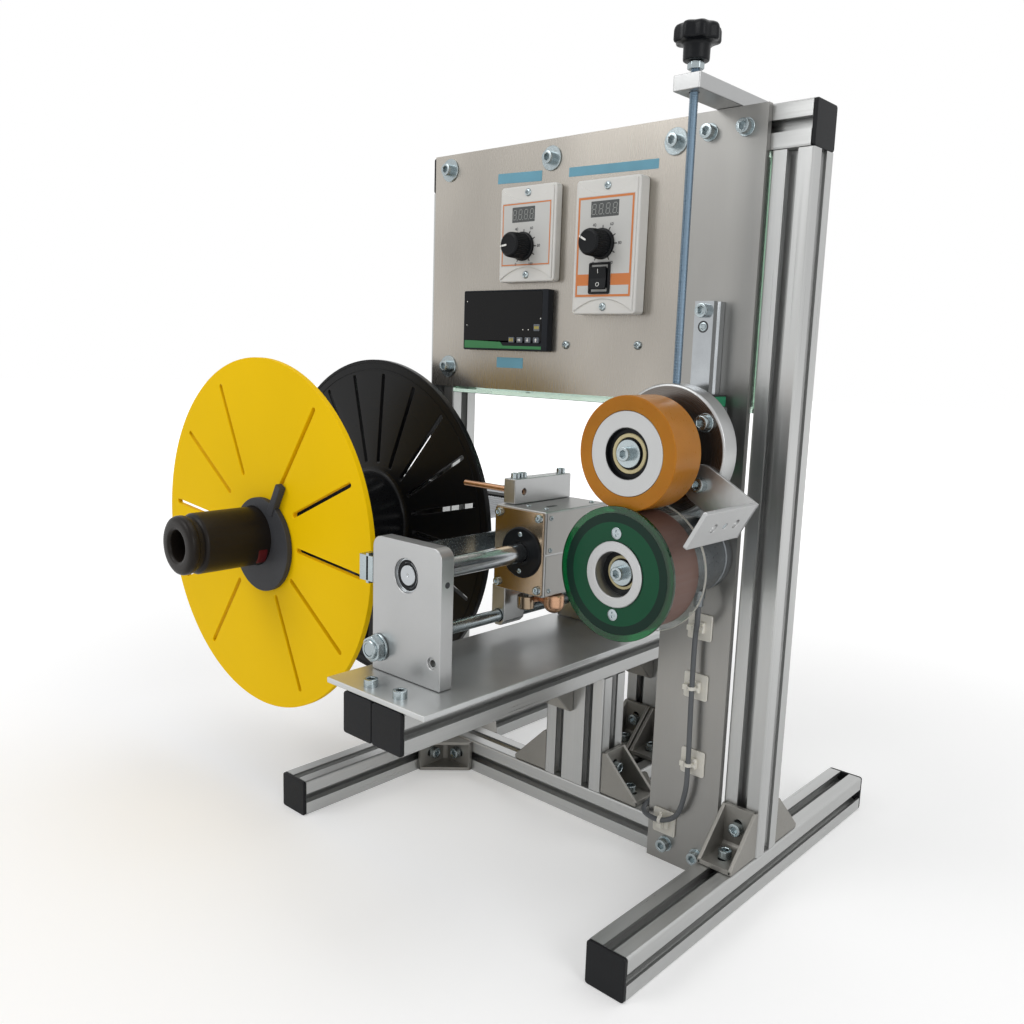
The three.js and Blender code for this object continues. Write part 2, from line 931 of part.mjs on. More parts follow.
// The cable's route from the encoder's gland down the plate, over the cross rail and up to the cover
const cableRoute = [
  [132, -40, 216.3],
  [132, -39.8, 210],
  [130, -36.5, 202],
  [126, -30.5, 195],
  [124, -27.8, 184],
  [124, -27.7, 150],
  [124.5, -27.7, 120],
  [125, -27.7, 90],
  [124, -27.7, 66],
  [117, -27.7, 45],
  [104, -27.7, 37],
  [91, -26, 36],
  [83, -20, 36],
  [80, -11, 36.5],
  [83, -4, 42],
  [91, -6, 54],
  [95, -11.5, 70],
  [95, -12.5, 85],
  [95, -12.5, 105],
  [95, -12.5, 170],
  [95, -12.5, 240],
  [95, -12.5, 295],
  [95, -12.3, 312],
  [95, -8, 326],
  [95, 0, 337],
  [95, 2, 346],
  [95, 2, 362],
];

function addEncoderCable() {
  const points = cableRoute.map(([x, y, z]) => new THREE.Vector3(x, y, z));
  const route = new THREE.CatmullRomCurve3(points, false, 'centripetal');
  const section = new THREE.Shape(circle(cableRadius, cableSides));
  const options = { steps: cableSteps, extrudePath: route, curveSegments: 1 };
  addPiece(machine, 'encoder_cable', new THREE.ExtrudeGeometry(section, options), finish.cable);
}

// Press roller unit: bar, screw and knob on top, linear rail and carriage, disc and roller in front

function addPressBar() {
  const { width, thickness, front, holeGap } = pressBar;
  const rear = profile.width / 2;
  const screwY = (discFront + discRear) / 2;
  const bar = moved(block(width, front + rear, thickness), 0, (rear - front) / 2, thickness / 2);
  const boreLength = thickness + 2 * overrun;
  const bore = moved(rod(pressScrew.radius + holeGap, boreLength, 'z', 16), 0, screwY, thickness / 2);
  addPiece(machine, 'pressure_bar', cut(bar, bore), finish.machined, guidePlateX, 0, stand.height + seatGap);
}

function addLinearRail() {
  const { width, height, waist, headDepth, footDepth } = rail;
  const half = width / 2;
  const neck = waist / 2;
  const halfSection = [
    [half, height],
    [half, height - footDepth],
    [neck, height - footDepth - (half - neck)],
    [neck, headDepth + (half - neck)],
    [half, headDepth],
    [half, 0],
  ];
  const outline = [
    ...halfSection.map(([x, y]) => new THREE.Vector2(x, y)),
    ...halfSection.slice().reverse().map(([x, y]) => new THREE.Vector2(-x, y)),
  ];
  const top = carriageZ + carriage.length / 2 + carriage.travel + rail.topAllowance;
  const bottom = meterWheel.height + encoder.radius + rail.gapToEncoder;
  const length = top - bottom;
  const bar = extruded(outline, length, 'z');
  const drillLength = 2 * rail.counterboreDepth;
  const holes = [];
  for (let down = rail.firstHole; down < length - rail.counterboreRadius; down += rail.holePitch) {
    holes.push(moved(rod(rail.counterboreRadius, drillLength, 'y', 16), 0, 0, length / 2 - down));
  }
  const y = guidePlateFront - seatGap - height;
  addPiece(machine, 'linear_rail', cut(bar, ...holes), finish.steel, guidePlateX, y, (top + bottom) / 2);
}

function addPressCarriage() {
  const { width, coreWidth, length, capLength, capWidth, height, underGap, flangeDepth } = carriage;
  const depth = height - underGap;
  const middle = length - 2 * capLength;
  const slot = rail.width + 2 * runningGap;
  const slotDepth = rail.height - underGap + runningGap + seatGap;
  const shape = cut(
    joined(
      moved(block(width, flangeDepth, middle), 0, flangeDepth / 2, 0),
      moved(block(coreWidth, depth, middle), 0, depth / 2, 0),
      moved(block(capWidth, depth - seatGap, length), 0, (depth + seatGap) / 2, 0),
    ),
    moved(block(slot, slotDepth + overrun, length + 2 * overrun), 0, depth - (slotDepth - overrun) / 2, 0),
  );
  addPiece(machine, 'press_carriage', shape, finish.steel, guidePlateX, carriageFront, carriageZ);
}

function addPressDisc() {
  const { radius, thickness, chamfer, spacerRadius, spacerLength, collarRadius, collarLength } = pressDisc;
  const axleEnd = -collarLength - seatGap - pressRoller.width - pressRoller.axleProud;
  const body = turned([
    [0, axleEnd],
    [pressRoller.axleRadius, axleEnd],
    [pressRoller.axleRadius, -collarLength],
    [collarRadius, -collarLength],
    [collarRadius, 0],
    [radius - chamfer, 0],
    [radius, chamfer],
    [radius, thickness - chamfer],
    [radius - chamfer, thickness],
    [spacerRadius, thickness],
    [spacerRadius, thickness + spacerLength],
    [0, thickness + spacerLength],
  ], 36);
  const socket = rod(pressScrew.radius + runningGap, 2 * pressDisc.screwSocketDepth, 'z', 16);
  const shape = cut(body, moved(socket, 0, thickness / 2, radius));
  addPiece(machine, 'press_disc', shape, finish.machined, guidePlateX, discFront, pressRollerZ);
}

// A leg screwed to the disc slopes down to the right, and its flange turns forward with two holes and an eye
function addThreadGuide() {
  const group = unit(guidePlateX, discFront - seatGap, pressRollerZ);
  const { width, thickness, slope, screwRadius, screwHole, legReach, flangeDepth } = threadGuide;
  const { holeRadius, firstHole, holePitch, eyeRadius } = threadGuide;
  const legLength = legReach + width / 2;
  const outline = [
    ...arc(0, 0, width / 2, 90, 270, 8),
    new THREE.Vector2(legLength - width / 2, -width / 2),
    new THREE.Vector2(legLength - width / 2, width / 2),
  ];
  const leg = moved(extruded(outline, thickness, 'y', [circle(screwHole, 12)]), 0, -thickness / 2, 0);
  const flangeLength = thickness + flangeDepth;
  const flangeX = legReach - thickness / 2;
  const flange = moved(block(thickness, flangeLength, width), flangeX, -flangeLength / 2, 0);
  const holeAt = (radius, y) => moved(rod(radius, 2 * thickness, 'x', 16), flangeX, y - flangeLength, 0);
  const shape = cut(
    joined(leg, flange),
    holeAt(holeRadius, firstHole),
    holeAt(eyeRadius, firstHole + holePitch / 2),
    holeAt(holeRadius, firstHole + holePitch),
  );
  const turnedPart = new THREE.Group();
  turnedPart.rotation.y = THREE.MathUtils.degToRad(slope);
  const screwAngle = THREE.MathUtils.degToRad(threadGuide.screwTurn);
  turnedPart.position.set(screwRadius * Math.cos(screwAngle), 0, screwRadius * Math.sin(screwAngle));
  group.add(turnedPart);
  addPiece(turnedPart, 'thread_guide_bracket', shape, finish.machined);
}

function addPressRoller() {
  const { radius, tyreThickness, width, edgeRadius, bearingRadius, bearingDepth, axleRadius } = pressRoller;
  const rear = discFront - pressDisc.collarLength - seatGap;
  const group = unit(guidePlateX, rear - width, pressRollerZ);
  const hubRadius = radius - tyreThickness;
  const bore = axleRadius + runningGap;
  const hub = turnedRing([
    [bore, bearingDepth],
    [bearingRadius, bearingDepth],
    [bearingRadius, 0],
    [hubRadius, 0],
    [hubRadius, width],
    [bore, width],
  ]);
  addPiece(group, 'press_roller_hub', hub, finish.machined);
  const round = arc(radius - edgeRadius, edgeRadius, edgeRadius, -90, 0, 3).map((point) => [point.x, point.y]);
  const tyre = turnedRing([
    [hubRadius + seatGap, 0],
    ...round,
    [radius, width],
    [hubRadius + seatGap, width],
  ], 40);
  addPiece(group, 'press_roller_tyre', tyre, finish.amberTyre);
}

function addPressScrew() {
  const { radius, threadShowing, nutWidth, nutHeight } = pressScrew;
  const { knobRadius, knobHeight, knobLobes, lobeDepth, knobEdge, stemRadius, stemHeight } = pressScrew;
  const bottom = pressRollerZ + pressDisc.radius - pressDisc.screwSocketDepth + seatGap;
  const nutBottom = stand.height + seatGap + pressBar.thickness + threadShowing;
  const knobBottom = nutBottom + nutHeight + seatGap;
  const group = unit(guidePlateX, (discFront + discRear) / 2, 0);
  const top = knobBottom + stemHeight + knobHeight / 2;
  const screw = joined(
    moved(rod(radius, top - bottom, 'z', 16), 0, 0, (top + bottom) / 2),
    moved(extruded(hexagon(nutWidth), nutHeight, 'z'), 0, 0, nutBottom + nutHeight / 2),
  );
  addPiece(group, 'pressure_screw', screw, finish.threaded);

  const pointsPerLobe = 6;
  const lobed = (shrink) => Array.from({ length: knobLobes * pointsPerLobe }, (_, index) => {
    const angle = 2 * Math.PI * index / (knobLobes * pointsPerLobe);
    const reach = knobRadius - shrink - lobeDepth * (1 - Math.cos(angle * knobLobes)) / 2;
    return new THREE.Vector2(reach * Math.cos(angle), reach * Math.sin(angle));
  });
  const lowerHead = extruded(lobed(0), knobHeight - knobEdge, 'z');
  const upperHead = extruded(lobed(knobEdge), 2 * knobEdge, 'z');
  const stem = rod(stemRadius, stemHeight + knobEdge, 'z', 32);
  const boreLength = stemHeight + knobHeight / 2 + seatGap;
  const shape = cut(
    joined(
      moved(lowerHead, 0, 0, stemHeight + (knobHeight - knobEdge) / 2),
      moved(upperHead, 0, 0, stemHeight + knobHeight - knobEdge),
      moved(stem, 0, 0, (stemHeight + knobEdge) / 2),
    ),
    moved(rod(radius + seatGap, boreLength + overrun, 'z', 16), 0, 0, (boreLength - overrun) / 2),
  );
  addPiece(group, 'pressure_knob', shape, finish.blackPlastic, 0, 0, knobBottom);
}

// Platform: two posts, two beams side by side and the base plate

function addPlatform() {
  const look = finish.aluminium;
  const postBottom = profile.width + seatGap;
  const postTop = beamBottom - seatGap;
  const postZ = (postBottom + postTop) / 2;
  const rearPostY = platform.rearPostFront + profile.width / 2;
  addPiece(machine, 'front_post', slottedBar(postTop - postBottom, 'z', 2), look, platformX, 0, postZ);
  addPiece(machine, 'rear_post', slottedBar(postTop - postBottom, 'z', 2), look, platformX, rearPostY, postZ);
  const beamLength = platform.rear - platform.front - 2 * capThickness;
  const beamY = (platform.rear + platform.front) / 2;
  const beamZ = beamBottom + profile.width / 2;
  const beamOffset = (profile.width + seatGap) / 2;
  for (const [side, sign] of [['left', -1], ['right', 1]]) {
    const name = `platform_beam_${side}`;
    addPiece(machine, name, slottedBar(beamLength, 'y'), look, platformX + sign * beamOffset, beamY, beamZ);
  }
  const { plateWidth, plateThickness, plateFront, plateRear } = platform;
  const plate = block(plateWidth, plateRear - plateFront, plateThickness);
  const plateY = (plateFront + plateRear) / 2;
  addPiece(machine, 'base_plate', plate, finish.machined, platformX, plateY, plateTop - plateThickness / 2);
}

// Traverse: end blocks, guide rod and stop strip stay put; shaft turns; housing slides

function endBlockShape(bearingFaces) {
  const { width, height, thickness, cornerRadius, bearingRadius, bearingDepth } = endBlock;
  const { spareHoleRadius, spareHoleAcross, spareHoleUp } = endBlock;
  const x = width / 2;
  const z = height / 2;
  const outline = [
    new THREE.Vector2(-x, -z),
    new THREE.Vector2(x, -z),
    ...arc(x - cornerRadius, z - cornerRadius, cornerRadius, 0, 90, 4),
    ...arc(-x + cornerRadius, z - cornerRadius, cornerRadius, 90, 180, 4),
  ];
  const up = shaftZ - endBlockZ;
  const holes = [
    circle(traverse.shaftRadius + runningGap, 20, shaftX - endBlockX, up),
    circle(traverse.rodRadius + runningGap, 16, rodX - endBlockX, rodZ - endBlockZ),
    circle(spareHoleRadius, 12, spareHoleAcross, up + spareHoleUp),
  ];
  const plate = extruded(outline, thickness, 'y', holes);
  const recess = moved(rod(bearingRadius, 2 * bearingDepth, 'y', 24), 0, bearingFaces * thickness / 2, up);
  return cut(plate, recess);
}

function addTraverseFrame() {
  const { frontY, rearY, thickness, width } = endBlock;
  const frontMiddle = frontY + thickness / 2;
  const rearMiddle = rearY + thickness / 2;
  const look = finish.machined;
  addPiece(machine, 'front_end_block', endBlockShape(-1), look, endBlockX, frontMiddle, endBlockZ);
  addPiece(machine, 'rear_end_block', endBlockShape(1), look, endBlockX, rearMiddle, endBlockZ);

  const { rodRadius, washerRadius, washerThickness, nutWidth, nutHeight } = traverse;
  const washerFront = frontY - seatGap - washerThickness;
  const rodEnd = rearY + thickness;
  const nutFront = washerFront - nutHeight;
  const rodShape = joined(
    moved(rod(rodRadius, rodEnd - nutFront, 'y'), 0, (rodEnd + nutFront) / 2, 0),
    moved(rod(washerRadius, washerThickness, 'y'), 0, washerFront + washerThickness / 2, 0),
    moved(extruded(hexagon(nutWidth), nutHeight + washerThickness / 2, 'y'), 0, nutFront + nutHeight / 2, 0),
  );
  addPiece(machine, 'guide_rod', rodShape, finish.zinc, rodX, 0, rodZ);

  const strip = stopStrip;
  const blockLeft = -width / 2;
  const stripX = blockLeft - strip.gapToBlock - strip.thickness / 2;
  const stripLength = rearY + thickness - frontY;
  const endX = blockLeft - seatGap - (strip.gapToBlock + strip.endProud) / 2;
  const endWidth = strip.gapToBlock + strip.endProud;
  const ends = [frontMiddle, rearMiddle].map((y) => moved(
    block(endWidth, strip.endLength, strip.height - strip.thickness), endX, y, 0,
  ));
  const stripShape = joined(
    moved(block(strip.thickness, stripLength, strip.height), stripX, (frontMiddle + rearMiddle) / 2, 0),
    ...ends,
  );
  addPiece(machine, 'stop_strip', stripShape, finish.zinc, endBlockX, 0, shaftZ + strip.up);
}

function pulleyProfile(teeth) {
  const { pitch, pulleyWidth, pulleyLip, pulleyLipWidth } = belt;
  const radius = teeth * pitch / (2 * Math.PI);
  const half = pulleyWidth / 2;
  return [
    [radius + pulleyLip, -half],
    [radius + pulleyLip, -half + pulleyLipWidth],
    [radius, -half + pulleyLipWidth],
    [radius, half - pulleyLipWidth],
    [radius + pulleyLip, half - pulleyLipWidth],
    [radius + pulleyLip, half],
  ].map(([reach, along]) => [reach, pulleyY + along]);
}

function addTraverseShaft() {
  const { shaftRadius, shaftFront } = traverse;
  const pulley = pulleyProfile(belt.traverseTeeth);
  const end = pulleyY + belt.pulleyWidth / 2;
  const shaft = turned([
    [0, shaftFront],
    [shaftRadius, shaftFront],
    [shaftRadius, end - belt.pulleyWidth],
    ...pulley,
    [0, end],
  ], 24);
  addPiece(machine, 'traverse_shaft', shaft, finish.steel, shaftX, 0, shaftZ);
}

function addTraverseHousing() {
  const group = unit(shaftX, housingFront, shaftZ);
  const { width, height, length, across, lidThickness, edge, capRadius, capThickness: capDepth } = housing;
  const { lugWidth, lugLength, lugBelowRod, lugFromFront } = housing;
  const bodyZ = housing.up;
  const lugBottom = rodZ - shaftZ - lugBelowRod;
  const lugTop = bodyZ - height / 2 + overrun;
  const frontOfCap = -lidThickness - capDepth;
  const boreLength = length + lidThickness + capDepth + 2 * overrun;
  const pivotX = lever.pivotAcross;
  const pivotY = lever.pivotFromFront;
  const pinBore = moved(
    rod(lever.pinRadius + runningGap, 2 * (lever.pinDepth + seatGap), 'z', 16),
    pivotX, pivotY, bodyZ - height / 2,
  );
  const shape = cut(
    joined(
      moved(block(width, length, height), across, length / 2, bodyZ),
      moved(block(width - 2 * edge, 2 * lidThickness, height - 2 * edge), across, 0, bodyZ),
      moved(rod(capRadius, capDepth + lidThickness, 'y', 28), 0, (frontOfCap) / 2, 0),
      moved(
        block(lugWidth, lugLength, lugTop - lugBottom),
        traverse.rodAcross, lugFromFront + lugLength / 2, (lugTop + lugBottom) / 2,
      ),
    ),
    moved(rod(traverse.shaftRadius + runningGap, boreLength, 'y', 20), 0, frontOfCap + boreLength / 2 - overrun, 0),
    moved(
      rod(traverse.rodRadius + runningGap, lugLength + 2 * overrun, 'y'),
      traverse.rodAcross, lugFromFront + lugLength / 2, traverse.rodUp,
    ),
    pinBore,
  );
  addPiece(group, 'traverse_housing', shape, finish.machined);

  const left = across - width / 2;
  const top = bodyZ + height / 2;
  const clampX = left + tubeClamp.fromLeft + tubeClamp.width / 2;
  const clampY = tubeClamp.fromFront + tubeClamp.length / 2;
  const clampZ = top + seatGap + tubeClamp.height / 2;
  const tubeY = tubeClamp.fromFront + guideTube.fromClampFront;
  const tubeZ = top + guideTube.up;
  const tubeBore = rod(guideTube.radius + runningGap, tubeClamp.width + 2 * overrun, 'x', 16);
  const clamp = cut(
    moved(block(tubeClamp.width, tubeClamp.length, tubeClamp.height), clampX, clampY, clampZ),
    moved(tubeBore, clampX, tubeY, tubeZ),
  );
  addPiece(group, 'tube_clamp', clamp, finish.machined);

  const tubeRight = clampX + tubeClamp.width / 2 + guideTube.stub;
  const tubeLeft = spindleX + spool.flangeRadius - guideTube.reachIntoSpool - shaftX;
  const tubeSection = circle(guideTube.radius, 16);
  const tube = extruded(tubeSection, tubeRight - tubeLeft, 'x', [circle(guideTube.bore, 16)]);
  addPiece(group, 'guide_tube', tube, finish.copper, (tubeLeft + tubeRight) / 2, tubeY, tubeZ);

  addReversingLever(group, pivotX, pivotY, bodyZ - height / 2);
}

// A flat lever under the housing, with its pin, a round knob on the right and a roller in front
function addReversingLever(group, x, y, ceiling) {
  const { thickness, below, pivotRadius, pinRadius, pinDepth } = lever;
  const { knobRadius, knobHeight, knobAcross, knobForward } = lever;
  const { rollerRadius, rollerHeight, rollerAcross, rollerForward, armShare } = lever;
  const pivot = new THREE.Vector2(0, 0);
  const arm = (across, forward, radius) => extruded(
    bandOutline(pivot, pivotRadius, new THREE.Vector2(across, -forward), radius, 8), thickness, 'z',
  );
  const middle = -below - thickness / 2;
  const pinLength = below + pinDepth + thickness / 2;
  const shape = joined(
    moved(arm(knobAcross, knobForward, knobRadius * armShare), 0, 0, middle),
    moved(arm(rollerAcross, rollerForward, rollerRadius * armShare), 0, 0, middle),
    moved(rod(pinRadius, pinLength, 'z', 16), 0, 0, pinDepth - pinLength / 2),
    moved(rod(knobRadius, knobHeight, 'z'), knobAcross, -knobForward, middle),
    moved(rod(rollerRadius, rollerHeight, 'z'), rollerAcross, -rollerForward, middle - thickness / 2),
  );
  addPiece(group, 'reversing_lever', shape, finish.copper, x, y, ceiling - seatGap);
}

// Spool, its clamp ring and the spindle

function flangeShape(thickness, slotCount, slotTurn, bore) {
  const { flangeRadius, slotWidth, slotInner, slotOuter } = spool;
  const slots = Array.from({ length: slotCount }, (_, index) => (
    radialSlot(slotWidth, slotInner, slotOuter, slotTurn + 360 * index / slotCount)
  ));
  return extruded(circle(flangeRadius, 80), thickness, 'y', [circle(bore, 32), ...slots]);
}

function addSpool() {
  const group = unit(spindleX, 0, spool.height);
  const { flangeThickness, coreRadius, frontSlots, rearSlots, frontSlotTurn, rearSlotTurn } = spool;
  const bore = spindle.radius + runningGap;
  const rearFlange = flangeShape(flangeThickness, rearSlots, rearSlotTurn, bore);
  const coreFront = frontFlangeY;
  const core = turnedRing([
    [bore, coreFront],
    [coreRadius, coreFront],
    [coreRadius, rearFlangeY + flangeThickness / 2],
    [bore, rearFlangeY + flangeThickness / 2],
  ], 32);
  const coreShape = joined(moved(rearFlange, 0, rearFlangeY + flangeThickness / 2, 0), core);
  addPiece(group, 'spool_core', coreShape, finish.blackPlastic);

  const frontMiddle = coreFront - seatGap - flangeThickness / 2;
  const frontShape = flangeShape(flangeThickness, frontSlots, frontSlotTurn, bore);
  addPiece(group, 'spool_front_flange', frontShape, finish.yellowPlastic, 0, frontMiddle, 0);

  const { radius, offset, offsetTurn, thickness, tabLength, tabWidth, tabTurn } = clampRing;
  const ringRear = frontMiddle - flangeThickness / 2 - seatGap;
  const rim = new THREE.Vector2(offset, 0).rotateAround(new THREE.Vector2(), THREE.MathUtils.degToRad(offsetTurn));
  const ring = moved(
    extruded(circle(radius, 48, rim.x, rim.y), thickness, 'y', [circle(bore, 32)]), 0, -thickness / 2, 0,
  );
  const tabInner = (bore + radius) / 2;
  const tabOuter = radius + tabLength;
  const tab = moved(block(tabOuter - tabInner, thickness, tabWidth), (tabOuter + tabInner) / 2, -thickness / 2, 0);
  tab.rotateY(THREE.MathUtils.degToRad(-tabTurn));
  const shape = joined(ring, moved(tab, rim.x, 0, rim.y));
  addPiece(group, 'clamp_ring', shape, finish.greyPlastic, 0, ringRear, 0);

  addSpindle(group, ringRear - thickness);
}

function addSpindle(group, ringFront) {
  const { radius, noseLength, noseBore, noseBoreDepth, noseEdge } = spindle;
  const { grooveDepth, grooveWidth, grooveFromFront, shoulderRadius, shoulderWidth, shaftRadius } = spindle;
  const nose = ringFront - noseLength;
  const groove = nose + grooveFromFront;
  const shoulder = rearFlangeY + spool.flangeThickness + seatGap;
  const pulley = pulleyProfile(belt.spindleTeeth);
  const end = pulleyY + belt.pulleyWidth / 2;
  const socketRadius = motor.shaftRadius + runningGap;
  const motorFace = motorPlateFront + driveBracket.motorPlateThickness + seatGap;
  const socketBottom = motorFace - motor.shaftReach - runningGap;
  const shape = turned([
    [0, nose + noseBoreDepth],
    [noseBore, nose + noseBoreDepth],
    [noseBore, nose],
    [radius - noseEdge, nose],
    [radius, nose + noseEdge],
    [radius, groove],
    [radius - grooveDepth, groove],
    [radius - grooveDepth, groove + grooveWidth],
    [radius, groove + grooveWidth],
    [radius, shoulder],
    [shoulderRadius, shoulder],
    [shoulderRadius, shoulder + shoulderWidth],
    [shaftRadius, shoulder + shoulderWidth],
    [shaftRadius, end - belt.pulleyWidth],
    ...pulley,
    [socketRadius, end],
    [socketRadius, socketBottom],
    [0, socketBottom],
  ], 28);
  addPiece(group, 'spindle_shaft', shape, finish.darkPlastic);
}

// Spindle drive: bracket on the left upright, motor behind it and the belt to the traverse

function addDrive() {
  const group = unit(spindleX, 0, spool.height);
  const { thickness, halfHeight, outboard, housingRadius, housingProud, housingToPulley } = driveBracket;
  const { standoffRadius, standoffAcross, standoffInboard, standoffUp } = driveBracket;
  const { motorPlateRadius, motorPlateThickness } = driveBracket;
  const plateRear = frontFace - seatGap;
  const plateFront = plateRear - thickness;
  const right = -innerFaceX - spindleX;
  const plateWidth = right + outboard;
  const plate = moved(
    block(plateWidth, thickness, 2 * halfHeight), (right - outboard) / 2, (plateFront + plateRear) / 2, 0,
  );
  const housingFrontY = plateFront - housingProud;
  const housingRear = pulleyY - belt.pulleyWidth / 2 - housingToPulley;
  const bearing = moved(
    rod(housingRadius, housingRear - housingFrontY, 'y', 32), 0, (housingRear + housingFrontY) / 2, 0,
  );
  const standoffLength = motorPlateFront - plateRear + thickness;
  const standoffs = [[-standoffAcross, -1], [-standoffAcross, 1], [standoffInboard, -1], [standoffInboard, 1]].map(
    ([x, sign]) => moved(
      rod(standoffRadius, standoffLength, 'y', 16), x, motorPlateFront - standoffLength / 2 + overrun,
      sign * standoffUp,
    ),
  );
  const motorPlate = moved(
    rod(motorPlateRadius, motorPlateThickness, 'y', 48), 0, motorPlateFront + motorPlateThickness / 2, 0,
  );
  const shape = cut(
    joined(plate, bearing, motorPlate, ...standoffs),
    moved(
      rod(spindle.shaftRadius + runningGap, housingRear - housingFrontY + 2 * overrun, 'y', 24),
      0, (housingRear + housingFrontY) / 2, 0,
    ),
    moved(
      rod(motor.pilotRadius + runningGap, motorPlateThickness + 2 * overrun, 'y', 24),
      0, motorPlateFront + motorPlateThickness / 2, 0,
    ),
  );
  addPiece(group, 'drive_bracket', shape, finish.machined);

  const motorFront = motorPlateFront + motorPlateThickness + seatGap;
  const pointsPerFlute = 4;
  const outline = Array.from({ length: motor.flutes * pointsPerFlute }, (_, index) => {
    const deep = index % pointsPerFlute >= pointsPerFlute / 2;
    const angle = 2 * Math.PI * index / (motor.flutes * pointsPerFlute);
    const reach = motor.radius - (deep ? motor.fluteDepth : 0);
    return new THREE.Vector2(reach * Math.cos(angle), reach * Math.sin(angle));
  });
  const shaftFront = motorFront - motor.shaftReach;
  const motorShape = joined(
    moved(extruded(outline, motor.length, 'y'), 0, motorFront + motor.length / 2, 0),
    moved(
      rod(motor.pilotRadius, motorPlateThickness + overrun, 'y', 24),
      0, motorFront - (motorPlateThickness - overrun) / 2, 0,
    ),
    moved(
      rod(motor.shaftRadius, motor.shaftReach + overrun, 'y', 20), 0, (shaftFront + motorFront + overrun) / 2, 0,
    ),
  );
  addPiece(group, 'drive_motor', motorShape, finish.greyPlastic);
}

function addBelt() {
  const start = new THREE.Vector2(spindleX, spool.height);
  const end = new THREE.Vector2(shaftX, shaftZ);
  const radius = (teeth) => teeth * belt.pitch / (2 * Math.PI) + seatGap;
  const startRadius = radius(belt.spindleTeeth);
  const endRadius = radius(belt.traverseTeeth);
  const outer = bandOutline(start, startRadius + belt.thickness, end, endRadius + belt.thickness, 16);
  const inner = bandOutline(start, startRadius, end, endRadius, 16);
  addPiece(machine, 'drive_belt', extruded(outer, belt.width, 'y', [inner]), finish.rubber, 0, pulleyY, 0);
}

addStand();
addBrackets();
addPlates();
addRearCover();
addSpeedUnit();
addTorqueUnit();
addLengthMeter();
addMeterWheel();
addEncoder();
addEncoderCable();
addPressBar();
addLinearRail();
addPressCarriage();
addPressDisc();
addThreadGuide();
addPressRoller();
addPressScrew();
addPlatform();
addTraverseFrame();
addTraverseShaft();
addTraverseHousing();
addSpool();
addDrive();
addBelt();

// The origin is under the middle of the machine, on the bench
const bounds = new THREE.Box3().setFromObject(machine);
const middle = bounds.getCenter(new THREE.Vector3());
machine.position.set(-middle.x, -middle.y, -bounds.min.z);

export default machine;
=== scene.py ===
# %% [markdown]
# # A filament winder, finished over its own CAD
# The machine's plain solids come in as a fixed frame. This file gives each of them a worked-out
# finish, and lays finer pieces over them where the real machine has rounded edges, threads, screws,
# seals and printed dials. Everything is in metres in the end, but is drawn in millimetres, in the
# coordinates of the machine's own drawing.

# %% Load the frame
import math

import bpy
import numpy as np
from mathutils import Matrix, Vector
from mathutils.geometry import tessellate_polygon


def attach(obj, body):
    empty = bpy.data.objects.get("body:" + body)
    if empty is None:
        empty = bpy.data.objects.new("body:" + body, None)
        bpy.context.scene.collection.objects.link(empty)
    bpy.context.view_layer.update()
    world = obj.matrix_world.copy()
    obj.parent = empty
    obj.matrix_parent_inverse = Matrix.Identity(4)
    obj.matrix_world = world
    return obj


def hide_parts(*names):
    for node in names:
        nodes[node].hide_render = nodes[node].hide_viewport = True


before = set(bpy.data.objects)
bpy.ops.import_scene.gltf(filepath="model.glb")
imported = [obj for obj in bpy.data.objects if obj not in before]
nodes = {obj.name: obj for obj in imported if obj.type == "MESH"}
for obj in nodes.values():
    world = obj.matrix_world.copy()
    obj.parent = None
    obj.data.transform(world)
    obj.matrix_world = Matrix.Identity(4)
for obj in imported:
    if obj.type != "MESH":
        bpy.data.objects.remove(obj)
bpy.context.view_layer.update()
MM = 0.001
DRAWING_TO_FRAME = np.array([89.7937, 35.3, 0.0])

# %% [markdown]
# ## The camera
# A photograph fixes where the eye stood. It could be matched by hand, but the corners of the stand
# are known, so the place, the heading and the lens were solved from them once and are typed here.
# Blender's camera looks along its own -Z, so the three columns are right, up and backwards.

# %% Camera
heading, dip, roll = math.radians(42.05), math.radians(9.70), math.radians(1.83)
forward = Vector((-math.sin(heading) * math.cos(dip), math.cos(heading) * math.cos(dip), -math.sin(dip)))
level = Vector((math.cos(heading), math.sin(heading), 0))
upright = level.cross(forward)
right = math.cos(roll) * level + math.sin(roll) * upright
up = -math.sin(roll) * level + math.cos(roll) * upright

camera_data = bpy.data.cameras.new("camera")
camera_data.lens = 33.0157
camera_data.sensor_width = 36
camera_data.clip_end = 20
camera = bpy.data.objects.new("camera", camera_data)
turn = Matrix((right, up, -forward)).transposed().to_4x4()
eye = (np.array([468.449, -615.369, 392.457]) + DRAWING_TO_FRAME) * MM
camera.matrix_world = Matrix.Translation(eye.tolist()) @ turn
scene = bpy.context.scene
scene.collection.objects.link(camera)
scene.camera = camera
scene.view_settings.view_transform = "Standard"
print("camera at", tuple(round(value, 3) for value in camera.location))

# %% [markdown]
# ## Points, faces and where they go
# A mesh is a list of points and a list of faces. Here a shape is first a grid of points, worked out
# as a whole array, and the quads between neighbours follow from the grid's numbering. Typing
# vertices by hand or adding primitives would also work, but a formula keeps every edge adjustable.

# %% Shells: points with quads and triangles
def shell(points, quads=(), triangles=()):
    """Points in a flat list, and faces that count them from zero."""
    return {
        "v": np.asarray(points, float).reshape(-1, 3),
        "q": np.asarray(quads, int).reshape(-1, 4),
        "t": np.asarray(triangles, int).reshape(-1, 3),
    }


def merged(parts):
    """Several shells as one: each shell's face numbers move on by the points that come before it."""
    before = np.cumsum([0] + [len(part["v"]) for part in parts])[:-1]
    return shell(
        np.vstack([part["v"] for part in parts]),
        np.vstack([part["q"] + count for part, count in zip(parts, before)]),
        np.vstack([part["t"] + count for part, count in zip(parts, before)]),
    )


